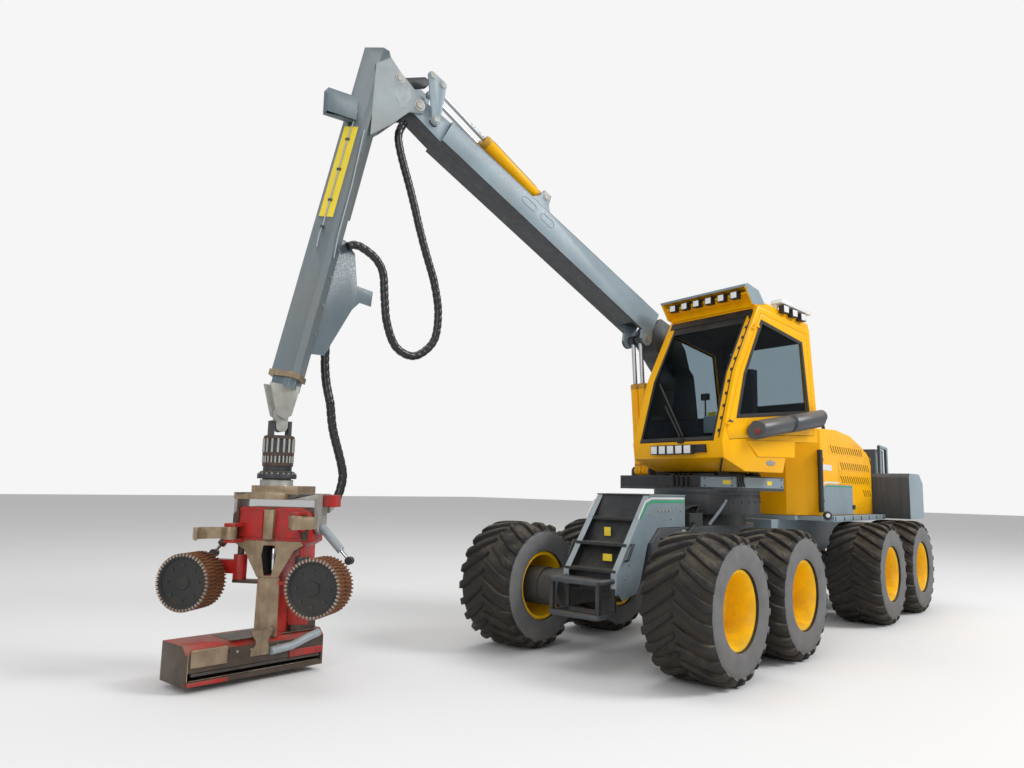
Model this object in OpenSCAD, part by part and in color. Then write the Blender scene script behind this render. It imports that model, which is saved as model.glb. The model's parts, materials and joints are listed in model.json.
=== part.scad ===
// Forestry harvester: eight wheels, articulated frame, slewing cab and crane, processing head.
// Ground is z = 0, the front wheels' axle is at x = 0, +X is forward and +Y is the left side.

/* [Wheels] */
// Outside diameter of a tyre over its lugs
tyre_d = 1340; // [1250:5:1400]
// Width of a tyre
tyre_w = 710; // [600:5:720]
// Diameter where the tyre's bead sits on the rim
bead_d = 674; // [640:2:700]
// Diameter of the rim's outer flange
flange_d = 724; // [710:2:760]
// Distance from the middle plane to the middle of a wheel
track_half = 1130; // [1120:5:1180]
// Distance between the two wheels of a bogie
bogie_gap = 1523; // [1450:1:1600]
// Position of the first rear wheel
rear_first_x = -4625; // [-4700:5:-4550]
// Depth of the rim's dish below its outer flange
dish_depth = 285; // [200:5:320]

/* [Frames] */
// Position of the steering joint between the frames
steer_x = -3070; // [-3090:5:-3050]
// Width of a frame's main box
frame_w = 700; // [600:10:800]
// Underside of the frames
frame_low = 900; // [860:10:920]
// Top of the front frame
frame_top = 1320; // [1280:10:1340]
// Gap between pieces that move past each other
gap = 6; // [5:1:8]

/* [Front steps] */
// Half the distance between the outer faces of the step's side plates
step_half = 320; // [310:2:340]
// Place of the steps, from the front wheels' axle
step_x = -175; // [-200:5:-150]
// Thickness of the side plates
step_plate = 12; // [8:1:16]
// Height of the deck plate above the steps
deck_z = 1660; // [1600:5:1670]

/* [Rear body] */
// Half the width of the engine hood
hood_half = 820; // [780:5:840]
// Underside of the hood
hood_low = 1426; // [1422:1:1450]
// Front of the hood
hood_front = -3600; // [-3620:5:-3590]
// Rear of the hood
hood_rear = -6035; // [-6050:5:-6000]
// Wall of the hood
hood_wall = 25; // [15:1:40]
// Top of the rear box
box_top = 2045; // [1950:5:2080]
// Half the width of the rear box
box_half = 1350; // [1250:10:1400]

/* [Turntable] */
// Position of the slewing centre
slew_x = -2200; // [-2230:5:-2170]
// How far the cab and crane are turned to the right
slew_right = 12; // [8:1:16]
// Radius of the slewing ring
ring_r = 640; // [600:5:660]
// Top of the fixed ring
ring_top = 1680; // [1660:5:1690]
// Top of the turning platform
platform_top = 1900; // [1880:5:1920]

/* [Cab] */
// Left side of the cab from the slewing centre
cab_left = 900; // [890:5:910]
// Right side of the cab from the slewing centre
cab_right = -450; // [-470:5:-430]
// Thickness of a cab wall
cab_wall = 40; // [30:1:50]
// Width of the cab's pillars
pillar_w = 75; // [60:1:85]
// Gap round the door
door_gap = 6; // [5:1:8]

/* [Crane] */
// Distance of the crane's plane to the right of the slewing centre
crane_off = 830; // [820:5:840]
// Width of the boom
boom_w = 370; // [350:5:380]
// Depth of the boom at its foot
boom_foot_d = 362; // [340:2:380]
// Depth of the boom at its tip
boom_tip_d = 290; // [270:2:300]
// Angle of the boom above the ground
boom_angle = 27.6; // [27:0.1:28]
// Length of the boom's straight part to the stick's pin
boom_len = 4136; // [4100:2:4180]
// Length of the stick's tube
stick_len = 3700; // [3650:5:3720]
// Lean of the stick from upright
stick_lean = 12.4; // [12:0.1:13]
// Full width of the stick's hexagonal section
stick_w = 340; // [320:2:350]
// Full depth of the stick's hexagonal section
stick_d = 350; // [340:2:370]
// Wall of the stick
stick_wall = 14; // [10:1:16]
// Stroke of the extension
ext_stroke = 1500; // [1400:10:1500]

/* [Head] */
// Direction that the head faces, from forward towards the left
head_face = 31; // [25:1:36]
// Width of the saw box
saw_box_w = 1320; // [1280:10:1340]
// Diameter of a feed roller
roller_d = 500; // [460:5:520]
// Width of a feed roller
roller_w = 300; // [280:5:320]
// Half the distance between the feed rollers' shafts
roller_half = 600; // [580:5:620]
// Clearance of the head above the ground
head_low = 55; // [50:5:80]

/* [Hidden] */

$fn = 48;
FACES = 64;

// Colours
GREY = "slategray";
YELLOW = "gold";
DARK = "dimgray";
STEEL = "silver";
RED = "firebrick";
RUBBER = "darkslategray";

wheel_z = tyre_d / 2;
seat_gap = 0.3;

// Profile in the x-z plane, extruded from y0 to y0 + w
module slab(points, y0, w)
    translate([0, y0 + w, 0]) rotate([90, 0, 0]) linear_extrude(w) polygon(points);

// Profile in the y-z plane, extruded from x0 to x0 + w
module slab_x(points, x0, w)
    translate([x0, 0, 0]) rotate([90, 0, 90]) linear_extrude(w) polygon(points);

// Round bar along y from y0 to y1
module bar_y(x, z, y0, y1, r)
    translate([x, y0, z]) rotate([-90, 0, 0]) cylinder(r = r, h = y1 - y0);

// Round bar between two points
module rod(a, b, r) {
    v = b - a;
    translate(a) rotate([0, acos(v[2] / norm(v)), atan2(v[1], v[0])]) cylinder(r = r, h = norm(v));
}

// Flat bar with round ends in the x-z plane, between two pins
module strap(a, b, r, y0, w) {
    v = b - a;
    translate([a[0], y0 + w, a[1]]) rotate([90, -atan2(v[1], v[0]), 0]) linear_extrude(w) {
        circle(r, $fn = FACES);
        translate([norm(v), 0]) circle(r, $fn = FACES);
        translate([0, -r]) square([norm(v), 2 * r]);
    }
}

// Pipe through a list of points, with a ball at each bend
module pipe(points, r) {
    for (i = [0:len(points) - 2]) rod(points[i], points[i + 1], r);
    for (i = [1:len(points) - 2]) translate(points[i]) sphere(r = r * 1.03);
}

// Outline moved outwards by d, for an outline that runs counter-clockwise
function unit(v) = v / norm(v);
function grow(p, d) = let (n = len(p)) [for (i = [0:n - 1]) let (u = unit(p[i] - p[(i + n - 1) % n]),
    v = unit(p[(i + 1) % n] - p[i]), m = [u[1], -u[0]], k = [v[1], -v[0]]) p[i] + d * (m + k) / (1 + m * k)];

// Point at distance d along angle a from p, and n to its left
function along(p, a, d, n = 0) = p + d * [cos(a), sin(a)] + n * [-sin(a), cos(a)];

module turret() translate([slew_x, 0, 0]) rotate([0, 0, -slew_right]) children();
module crane() turret() translate([0, -crane_off, 0]) children();

// Wheels
disc_y = tyre_w / 2 - 45 - dish_depth;
hub_r = 200;

// One tyre about the y axis. Its chevron lugs have two points on the crown and one in the groove between
lugs = 22;
lug_h = 45;
lug_pitch = 360 / lugs;
lug_lean = 10;
bulge_r = 440;
function wheel_point(r, a, y) = [r * sin(a), y, r * cos(a)];
function plain_ring(r, y) = [for (i = [0:lugs - 1]) wheel_point(r / cos(180 / lugs), (i + 0.2) * lug_pitch + lug_lean, y)];
function lug_ring(r, y, lean) = [for (i = [0:lugs - 1]) each [wheel_point(r, i * lug_pitch + lean, y),
    wheel_point(r, (i + 0.42) * lug_pitch + lean, y), wheel_point(r - lug_h, (i + 0.71) * lug_pitch + lean, y)]];
function band(a, b, n) = [for (i = [0:n - 1]) [a + i, a + (i + 1) % n, b + (i + 1) % n, b + i]];
function crown(a, b, n) = [for (i = [0:n - 1]) each [[a + i, a + (i + 1) % n, b + i], [a + (i + 1) % n, b + (i + 1) % n, b + i]]];
// Between a plain ring at c and a ring of lugs at f
function fan(c, f, turned) = [for (i = [0:lugs - 1]) let (j = (i + 1) % lugs, g = f + 3 * i, k = f + 3 * j)
    each [for (t = [[c + i, c + j, g + 2], [c + i, g + 2, g + 1], [c + i, g + 1, g], [c + j, k, g + 2]])
        turned ? [t[2], t[1], t[0]] : t]];
module tyre_at(x, side) {
    r = tyre_d / 2;
    h = tyre_w / 2;
    b = bead_d / 2 + seat_gap;
    n = 3 * lugs;
    points = concat(plain_ring(b, -h + 90), plain_ring(bulge_r, -h), lug_ring(r - 12, -h + 15, lug_lean), lug_ring(r, 0, 0),
        lug_ring(r - 12, h - 15, lug_lean), plain_ring(bulge_r, h), plain_ring(b, h - 90));
    faces = concat(band(0, lugs, lugs), fan(lugs, 2 * lugs, false), crown(2 * lugs, 2 * lugs + n, n),
        crown(2 * lugs + n, 2 * lugs + 2 * n, n), fan(2 * lugs + 3 * n, 2 * lugs + 2 * n, true),
        band(2 * lugs + 3 * n, 3 * lugs + 3 * n, lugs), band(3 * lugs + 3 * n, 0, lugs));
    color(RUBBER) translate([x, side * track_half, wheel_z]) polyhedron(points, faces);
}

// One rim, dished, with its disc towards the inside
module rim_at(x, side) {
    b = bead_d / 2;
    f = flange_d / 2;
    h = tyre_w / 2 - 45;
    w = 12;
    color(YELLOW) translate([x, side * track_half, wheel_z]) rotate([-90 * side, 0, 0])
        rotate_extrude($fn = FACES)
            polygon([[b, -h + w], [b, h - w], [f, h - w], [f, h], [b - w, h], [b - w - 8, disc_y + w],
                [95, disc_y + w], [95, disc_y], [b - w - 20, disc_y], [b - w, -h], [f, -h], [f, -h + w]]);
}

// Axle with both bogie cases and hubs, at the bogie's middle
bogie_in = 480;
bogie_out = 745;
bogie_h = 360;
axle_z = wheel_z + 40;
tube_r = 150;
module axle_at(x) {
    x0 = x + bogie_gap / 2;
    x1 = x - bogie_gap / 2;
    hub_end = track_half + disc_y - seat_gap;
    color(DARK) {
        bar_y(x, axle_z, -bogie_in, bogie_in, tube_r);
        for (s = [-1, 1]) {
            y0 = s > 0 ? bogie_in : -bogie_out;
            w = bogie_out - bogie_in;
            strap([x0, wheel_z], [x1, wheel_z], bogie_h / 2, y0, w);
            bar_y(x, axle_z, y0, y0 + w, 210);
            for (xx = [x0, x1])
                bar_y(xx, wheel_z, s > 0 ? bogie_out - 1 : -hub_end, s > 0 ? hub_end : -bogie_out + 1, hub_r);
        }
    }
}

// Saddle between a frame and its axle's tube
module saddle(x) difference() {
    translate([x - 190, -250, axle_z]) cube([380, 500, frame_low - axle_z + 1]);
    bar_y(x, axle_z, -260, 260, tube_r + seat_gap);
}

// Frames
yoke_r = 210;
yoke_h = 70;
module front_frame() color(GREY) {
    difference() {
        slab([[step_x - 155, 1000], [step_x - 155, 1180], [step_x - 325, frame_top], [-2760, frame_top],
            [-2760, frame_low], [step_x - 225, frame_low]], -frame_w / 2, frame_w);
        // Way for the front axle's tube
        bar_y(-bogie_gap / 2, axle_z, -frame_w, frame_w, tube_r + seat_gap);
    }
    // Yoke of the steering joint
    for (z = [frame_low, frame_top - yoke_h])
        translate([0, 0, z]) linear_extrude(yoke_h) {
            translate([steer_x, 0]) circle(yoke_r, $fn = FACES);
            polygon([[steer_x, -yoke_r], [-2750, -frame_w / 2], [-2750, frame_w / 2], [steer_x, yoke_r]]);
        }
    // Steering pin
    translate([steer_x, 0, frame_low]) cylinder(r = 60, h = frame_top - frame_low);
    // Pedestal and fixed slewing ring
    translate([slew_x, 0, frame_top - 1]) cylinder(r = 470, h = 140, $fn = FACES);
    translate([slew_x, 0, frame_top + 130]) cylinder(r = ring_r, h = ring_top - frame_top - 130, $fn = FACES);
    saddle(-bogie_gap / 2);
}

module front_axle() axle_at(-bogie_gap / 2);

// Front steps
step_nose = [450, 900];
module side_plate(y0) slab([[-900, deck_z], [-150, deck_z], step_nose, [450, 760], [330, 640], [60, 700],
    [-120, 1170], [-150, 1186], [-320, frame_top + gap], [-900, frame_top + gap]], y0, step_plate);
module front_step() color(GREY) translate([step_x, 0, 0]) {
    side_plate(step_half - step_plate);
    side_plate(-step_half);
    inner = step_half - step_plate;
    // Deck plate
    translate([-900, -step_half - 10, deck_z]) cube([760, 2 * step_half + 20, 10]);
    // Back panels and treads
    for (t = [[-160, 1400], [60, 1150], [250, 905]])
        translate([t[0] - 25, -inner - 1, t[1]]) cube([225, 2 * inner + 2, 30]);
    slab([[-160, deck_z], [-190, deck_z], [30, 1150], [220, 905], [220, 700], [250, 700], [250, 905],
        [60, 1150]], -inner - 1, 2 * inner + 2);
    // Cross members to the frame
    translate([-880, -inner - 1, frame_top + seat_gap]) cube([60, 2 * inner + 2, deck_z - frame_top]);
    // Platform and its tube guard
    translate([395, 20 - step_half, 815]) cube([330, 2 * step_half - 40, 30]);
    for (x = [410, 670]) for (y = [25 - step_half, step_half - 65])
        translate([x, y, 510]) cube([40, 40, 310]);
    for (y = [25 - step_half, step_half - 65]) translate([410, y, 500]) cube([300, 40, 40]);
    for (x = [410, 670]) translate([x, 25 - step_half, 500]) cube([40, 2 * step_half - 50, 40]);
    for (y = [-inner - 1, inner - 29]) translate([240, y, 700]) cube([215, 30, 60]);
}

// Rear frame
deck_low = tyre_d + 20;
deck_top = deck_low + 60;
rear_mid = rear_first_x - bogie_gap / 2;
tow_x = -6370;
tow_r = 21;
module rear_frame() color(GREY) {
    difference() {
        union() {
            slab([[-3330, frame_low], [-3330, deck_low + 2], [-6300, deck_low + 2], [-6300, frame_low + 100],
                [-5900, frame_low]], -frame_w / 2, frame_w);
            // Tongue of the steering joint
            translate([0, 0, frame_low + yoke_h + gap]) linear_extrude(frame_top - frame_low - 2 * yoke_h - 2 * gap) {
                translate([steer_x, 0]) circle(200, $fn = FACES);
                polygon([[steer_x, -200], [-3340, -220], [-3340, 220], [steer_x, 200]]);
            }
        }
        translate([steer_x, 0, frame_low]) cylinder(r = 60.3, h = 500);
    }
    // Deck under the hood
    translate([-6060, -860, deck_low]) cube([6060 - 3760, 1720, deck_top - deck_low]);
    translate([-3770, -560, deck_low]) cube([170, 1120, deck_top - deck_low]);
    // Towing plate at the rear
    difference() {
        translate([-6420, -80, frame_low + 95]) cube([240, 160, 40]);
        translate([tow_x, 0, frame_low + 90]) cylinder(r = tow_r, h = 50);
    }
    // Side rails over the wheels
    for (s = [-1, 1]) translate([-6050, s > 0 ? 850 : -1000, deck_low - 10]) cube([2250, 150, 70]);
    saddle(rear_mid);
}

module rear_axle() axle_at(rear_mid);

module engine() color(DARK) translate([-5300, -420, deck_top + seat_gap]) cube([1350, 840, 820]);

// Grey box at the rear with the exhaust tower
box_low = deck_low + 2 + seat_gap;
module rear_box() color(GREY) {
    difference() {
        slab([[-6070, box_low], [-6070, box_top - 60], [-6110, box_top], [-6640, box_top], [-6860, box_top - 160],
            [-6900, 1500], [-6800, box_low]], -box_half, 2 * box_half);
        for (s = [-1, 1]) translate([-7000, s * box_half, 1200]) rotate([0, 0, 45])
            cube([230, 230, 2000], center = true);
    }
    // Beam that carries the box on the frame
    translate([-6700, -300, box_low - 300]) cube([400 - seat_gap, 600, 301]);
    // Exhaust tower
    translate([-6600, -300, box_top - 1]) cube([420, 1150, 380]);
    // Tube guard beside the tower
    pipe([[-6560, 900, box_top - 20], [-6560, 900, box_top + 400], [-6220, 900, box_top + 420], [-6220, 900, box_top - 20]], 28);
    // Hinges of the hood
    for (s = [-1, 1]) {
        strap([-6085, 2000], hood_pivot, 14, s > 0 ? 500 : -520, 20);
        bar_y(hood_pivot[0], hood_pivot[1], s > 0 ? 519 : -545, s > 0 ? 545 : -519, 8);
    }
}

// Engine hood, open underneath
hood_chamfer = [[hood_front, 450], [-3880, hood_half]];
hood_arch = [[hood_front, 2480], [-3900, 2590], [-4500, 2610], [-5100, 2560], [-5600, 2430], [hood_rear, 2270]];
hood_pivot = [hood_rear - 20, 2235];
// Rows of louvres: height, place of the first slot, number of slots
louvres = [[2330, -4300, 18], [2110, -4680, 14], [1920, -4680, 14], [1730, -5660, 4]];
louvre_gap = 92;
module hood_plan(w) linear_extrude(3000)
    polygon([[hood_front - w, 450 - w / 2], [-3880 - w / 2, hood_half - w], [hood_rear + w, hood_half - w],
        [hood_rear + w, -hood_half + w], [-3880 - w / 2, -hood_half + w], [hood_front - w, -450 + w / 2]]);
module hood() color(YELLOW) {
    difference() {
        intersection() {
            slab(concat(hood_arch, [[hood_rear, hood_low], [hood_front, hood_low]]), -900, 1800);
            hood_plan(0);
        }
        intersection() {
            slab(concat([for (p = hood_arch) p - [0, hood_wall]],
                [[hood_rear, hood_low - 50], [hood_front, hood_low - 50]]), -900, 1800);
            hood_plan(hood_wall);
        }
        for (row = louvres) for (i = [0:row[2] - 1]) for (y = [-hood_half - 10, hood_half - hood_wall - 10])
            slab([[-8, -45], [14, -45], [-14, 45], [-36, 45]] + [for (k = [0:3]) [row[1] - i * louvre_gap, row[0]]], y, 45);
    }
    for (s = [-1, 1]) difference() {
        strap([hood_rear + 12, hood_pivot[1]], hood_pivot, 14, s > 0 ? 520.3 : -540.3, 20);
        bar_y(hood_pivot[0], hood_pivot[1], -600, 600, 8.3);
    }
}

module hood_rails() color(DARK) {
    for (y = [-620, 620]) {
        pipe([[-3920, y, 2620], [-3960, y, 2730], [-4560, y, 2730], [-4600, y, 2634]], 24);
        for (p = [[-3920, 2592], [-4600, 2604.5]]) translate([p[0], y, p[1]]) cylinder(r = 30, h = 32);
    }
    // Standing pipe at the hood's front left corner, on two clamps
    translate([-3830, hood_half + 12, 1470]) cylinder(r = 34, h = 830);
    for (z = [1600, 2150]) translate([-3900, hood_half + 0.3, z]) cube([80, 30, 40]);
}

// Turntable, with its platform, the cab's mounts and the crane's post
plat_low = ring_top + seat_gap;
foot = [-360, 3250];
lift_base = [245, 1960];
lift_pin = [370, 3700];
post_in = 155;
post_t = 40;
module turntable() color(DARK) {
    turret() {
        translate([0, 0, plat_low]) cylinder(r = ring_r, h = 60, $fn = FACES);
        translate([0, 0, plat_low + 50]) linear_extrude(platform_top - plat_low - 50)
            polygon([[-700, -960], [480, -1020], [480, 300], [300, 700], [-600, 700], [-900, 300], [-900, -500]]);
        for (x = [-200, 350]) for (y = [-300, 560])
            translate([x, y, platform_top - 1]) cylinder(r = 60, h = 51 - seat_gap);
    }
    // Post with the boom's foot between its plates
    crane() {
        for (s = [-1, 1]) slab([[-690, platform_top - 1], [60, platform_top - 1], [-60, 2500],
            [-180, 3250], [-250, 3380], [-420, 3390], [-540, 3280], [-640, 2500]],
            s > 0 ? post_in + gap : -post_in - gap - post_t, post_t);
        slab([[-690, platform_top - 1], [60, platform_top - 1], [0, 2700], [-620, 2700]], -post_in - gap, 2 * (post_in + gap));
        bar_y(foot[0], foot[1], -post_in - gap, post_in + gap, 60);
        // Base of the lift cylinders
        for (y = [-160, 130]) strap(lift_base, [lift_base[0], platform_top - 30], 60, y, 30);
        bar_y(lift_base[0], lift_base[1], -135, 135, 35);
    }
}

// Cab, side outline from the front round over the top
cab_side = [[800, 2090], [825, 2277], [575, 3060], [120, 3900], [-920, 3764], [-1030, 2711], [-1030, 2343],
    [-420, 2323], [-290, 1950], [430, 1950]];
door_side = [[700, 2290], [740, 2400], [495, 3060], [70, 3820], [-850, 3690], [-950, 2711], [-950, 2420], [-400, 2400]];
window_side = [[540, 2560], [400, 3060], [60, 3720], [-740, 3560], [-850, 2740], [-850, 2700]];
rebate = 15;
glass_t = 8;
// Window in a wall: outer face at y, wall on the side of -dir, with a rebate for the glass outside
module window_cut(y, dir) {
    slab(window_side, y - (dir > 0 ? cab_wall + 1 : 1), cab_wall + 2);
    slab(grow(window_side, rebate), y - (dir > 0 ? glass_t + seat_gap : 1), glass_t + seat_gap + 1);
}
module window_pane(y, dir) slab(grow(window_side, rebate - 3), dir > 0 ? y - glass_t : y, glass_t);
// Axis of the door's hinges along the front pillar
hinge_low = [790, 2290];
hinge_high = [110, 3860];
hinge_y = cab_left + 16;
function hinge_at(z) = [hinge_low[0] + (z - hinge_low[1]) * (hinge_high[0] - hinge_low[0]) / (hinge_high[1] - hinge_low[1]),
    hinge_y, z];
module cab_shell() color(YELLOW) turret() {
    inner_l = cab_left - cab_wall;
    inner_r = cab_right + cab_wall;
    w = inner_l - inner_r + 2;
    // Left wall with the doorway
    difference() {
        slab(cab_side, inner_l, cab_wall);
        slab(door_side, inner_l - 1, cab_wall + 2);
    }
    // Right wall with its window
    difference() {
        slab(cab_side, cab_right, cab_wall);
        window_cut(cab_right, -1);
    }
    // Floor, rear wall, front panel and roof rails between them
    slab([[430, 1950], [-290, 1950], [-290, 1990], [430, 1990]], inner_r - 1, w);
    slab([[-290, 1950], [-420, 2323], [-1030, 2343], [-1030, 2383], [-400, 2363], [-262, 1990]], inner_r - 1, w);
    slab([[430, 1950], [800, 2090], [825, 2277], [785, 2277], [764, 2120], [422, 1990]], inner_r - 1, w);
    difference() {
        slab([[-1030, 2343], [-1030, 2711], [-920, 3764], [-880, 3760], [-990, 2711], [-990, 2343]], inner_r - 1, w);
        slab([[-1100, 2850], [-1100, 3600], [-800, 3600], [-800, 2850]], inner_r + 100, inner_l - inner_r - 200);
    }
    slab([[120, 3900], [-920, 3764], [-915, 3724], [130, 3860]], inner_r - 1, w);
    // Front pillars
    for (y = [inner_l - pillar_w, inner_r])
        slab([[825, 2277], [575, 3060], [120, 3900], [70, 3862], [520, 3040], [765, 2277]], y, pillar_w);
    // Hinge pins and their knuckles on the pillar
    for (z = [2450, 3600]) {
        rod(hinge_at(z), hinge_at(z + 30), 12);
        rod(hinge_at(z + 15), hinge_at(z + 65), 6);
        translate(hinge_at(z + 15) + [0, -17, -10]) cube([40, 25, 20]);
    }
}

module cab_roof() color(YELLOW) turret() {
    // Roof with the visor over the windscreen, which is hollow below
    difference() {
        union() {
            slab([[160, 3905.6], [-940, 3761.7], [-930, 3830], [-100, 3960], [150, 3960]], cab_right + 20, cab_left - cab_right - 40);
            slab([[150, 3915], [-40, 3940], [80, 4100], [290, 4150], [340, 4130], [200, 3915]], cab_right + 20, cab_left - cab_right - 40);
        }
        slab([[162, 3880], [110, 4000], [120, 4085], [280, 4130], [380, 4110], [380, 3880]], cab_right + 40, cab_left - cab_right - 80);
    }
    // Beam that carries the visor's lamps
    translate([100, cab_right + 39, 4040]) cube([141, cab_left - cab_right - 78, 30]);
    // Bar over the lamps on the left edge
    for (p = [[-330, 3860], [-860, 3800]]) translate([p[0], cab_left - 100, p[1]]) cube([30, 60, 150]);
    slab([[-270, 4000], [-900, 3930], [-900, 3980], [-300, 4050]], cab_left - 110, 160);
}

module cab_glass() color("lightblue") turret() {
    inner_l = cab_left - cab_wall - pillar_w - seat_gap;
    inner_r = cab_right + cab_wall + pillar_w + seat_gap;
    slab([[815, 2290], [565, 3060], [140, 3850], [130, 3845], [556, 3056], [805, 2290]], inner_r, inner_l - inner_r);
    // Right side and rear panes
    window_pane(cab_right, -1);
    slab([[-1016.8, 2840], [-936.4, 3610], [-944.7, 3611], [-1025.1, 2841]], cab_right + cab_wall + 80, cab_left - cab_right - 2 * cab_wall - 160);
}

// Seat, at the middle of the cab
seat_y = (cab_left + cab_right) / 2;
module seat() color(DARK) turret() translate([0, seat_y, 1990 + seat_gap]) {
    translate([-240, -170, 0]) cube([380, 340, 350]);
    translate([-360, -260, 349]) cube([540, 520, 140]);
    translate([-440, -240, 450]) cube([130, 480, 800]);
    for (y = [-350, 255]) translate([-300, y, 400]) cube([430, 95, 220]);
}

lamp_y = [-80, 46, 172, 298, 424];
roof_lamp_y = [-300, -110, 80, 270, 460, 650];
side_lamp_x = [-430, -610, -790];
module work_lamps() color("whitesmoke") turret() {
    slab([[809.7, 2150], [850, 2150], [850, 2240], [820.4, 2240]], -120, 800);
    for (y = lamp_y) translate([849, y, 2130]) cube([60, 112, 108]);
    // Under the roof's visor
    for (y = roof_lamp_y) translate([241 + seat_gap, y, 3990]) cube([70, 100, 90]);
    // On the left edge of the roof
    for (x = side_lamp_x) translate([x, cab_left - 20 + seat_gap, 3880 + 0.13 * (x + 430)]) cube([110, 65, 95]);
}

module cab_door() color(YELLOW) turret() {
    difference() {
        slab(grow(door_side, -door_gap), cab_left - cab_wall, cab_wall);
        window_cut(cab_left, 1);
    }
    // Two tubes along the foot of the window
    pipe([[330, cab_left + 85, 2440], [-380, cab_left + 85, 2560], [-1000, cab_left + 85, 2665]], 80);
    for (p = [[100, 2480], [-800, 2632]]) translate([p[0], cab_left - 1, p[1] - 30]) cube([60, 40, 60]);
    // Hinge knuckles
    for (z = [2450, 3600]) {
        difference() {
            union() {
                rod(hinge_at(z + 30.5), hinge_at(z + 60), 12);
                translate(hinge_at(z + 45) + [z > 3000 ? -80 : -50, -7, -10]) cube([z > 3000 ? 78 : 48, 14, 20]);
                translate(hinge_at(z + 45) + [z > 3000 ? -80 : -50, -17, -10]) cube([20, 22, 20]);
            }
            rod(hinge_at(z + 10), hinge_at(z + 80), 6.3);
        }
    }
}

module door_glass() color("lightblue") turret() window_pane(cab_left, 1);

// Crane
boom_root = [220, 3892];
stick_pin = along(boom_root, boom_angle, boom_len);
link_pin = [3687, 5697];
link_top = [3754, 6184];
rod_eye = [3620, 6120];
ear_pin = [4135, 6035];
cyl_base = [2112, 5208];
ear_t = 27;
ear_in = 143;
tip_half = 137;
link_in = 175;
link_t = 25;

module boom() color(GREY) crane() difference() {
    union() {
        // Straight box, tapering to the tip
        slab([along(boom_root, boom_angle, 0, -boom_foot_d / 2), along(boom_root, boom_angle, 3730, -boom_tip_d / 2),
            along(boom_root, boom_angle, 3730, boom_tip_d / 2), along(boom_root, boom_angle, 0, boom_foot_d / 2)],
            -boom_w / 2, boom_w);
        // Narrow tip between the stick's ears
        slab([along(boom_root, boom_angle, 3720, -boom_tip_d / 2), along(stick_pin, boom_angle, 0, -110),
            along(stick_pin, boom_angle, 0, 110), along(boom_root, boom_angle, 3720, boom_tip_d / 2)],
            -tip_half, 2 * tip_half);
        bar_y(stick_pin[0], stick_pin[1], -tip_half, tip_half, 110);
        bar_y(link_pin[0], link_pin[1], -link_in + 2, link_in - 2, 62);
        bar_y(link_pin[0], link_pin[1], -link_in - link_t - 3, link_in + link_t + 3, 30);
        // Curved foot
        slab([[344, 3751], [60, 4010], [-180, 3920], [-420, 3640], [-520, 3330], [-500, 3200], [-400, 3100],
            [-250, 3120], [-200, 3200], [0, 3400], [200, 3620]], -post_in, 2 * post_in);
        bar_y(foot[0], foot[1], -post_in, post_in, 150);
        // Plates for the lift cylinders' pin
        for (y = [-185, 145]) {
            bar_y(lift_pin[0], lift_pin[1], y, y + 40, 97);
            slab([lift_pin + [-95, 0], lift_pin + [95, 0], lift_pin + [75, 160], lift_pin + [-115, 160]], y, 40);
        }
        // Bracket of the stick's cylinders
        for (y = [-185, 150]) slab([along(cyl_base, boom_angle, -80, -60), along(cyl_base, boom_angle, -300, -330),
            along(cyl_base, boom_angle, 330, -330), along(cyl_base, boom_angle, 80, -40),
            along(cyl_base, boom_angle, 60, 60), along(cyl_base, boom_angle, -60, 60)], y, 35);
        bar_y(cyl_base[0], cyl_base[1], -150, 150, 35);
    }
    bar_y(foot[0], foot[1], -post_in - 1, post_in + 1, 60.3);
    // Pocket for the lift rods' eyes
    translate([lift_pin[0] - 230, -141, lift_pin[1] - 300]) cube([460, 282, 300 + 215]);
    bar_y(stick_pin[0], stick_pin[1], -tip_half - 1, tip_half + 1, 45.3);
}

module lift_barrels() color(YELLOW) crane() {
    v = lift_pin - lift_base;
    u = v / norm(v);
    top = lift_base + 1140 * u;
    difference() {
        for (s = [-1, 1]) {
            rod([lift_base[0], s * 66, lift_base[1]], [top[0], s * 66, top[1]], 62);
            bar_y(lift_base[0], lift_base[1], s * 66 - 55, s * 66 + 55, 54);
        }
        bar_y(lift_base[0], lift_base[1], -140, 140, 35.3);
        for (s = [-1, 1]) rod([(lift_base + 180 * u)[0], s * 66, (lift_base + 180 * u)[1]],
            [(top + 10 * u)[0], s * 66, (top + 10 * u)[1]], 28.3);
    }
}

module lift_rods() color(STEEL) crane() {
    v = lift_pin - lift_base;
    u = v / norm(v);
    low = lift_base + 660 * u;
    for (s = [-1, 1]) {
        rod([low[0], s * 66, low[1]], [lift_pin[0], s * 66, lift_pin[1]], 28);
        bar_y(lift_pin[0], lift_pin[1], s * 66 - 45, s * 66 + 45, 60);
    }
    bar_y(lift_pin[0], lift_pin[1], -125, 125, 32);
}

module stick_barrels() color(YELLOW) crane() {
    v = rod_eye - cyl_base;
    u = v / norm(v);
    top = cyl_base + 980 * u;
    difference() {
        for (s = [-1, 1]) {
            rod([cyl_base[0], s * 72, cyl_base[1]], [top[0], s * 72, top[1]], 66);
            bar_y(cyl_base[0], cyl_base[1], s * 72 - 60, s * 72 + 60, 66);
        }
        bar_y(cyl_base[0], cyl_base[1], -150, 150, 35.3);
        for (s = [-1, 1]) rod([(cyl_base + 250 * u)[0], s * 72, (cyl_base + 250 * u)[1]],
            [(top + 10 * u)[0], s * 72, (top + 10 * u)[1]], 26.3);
    }
}

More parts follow.
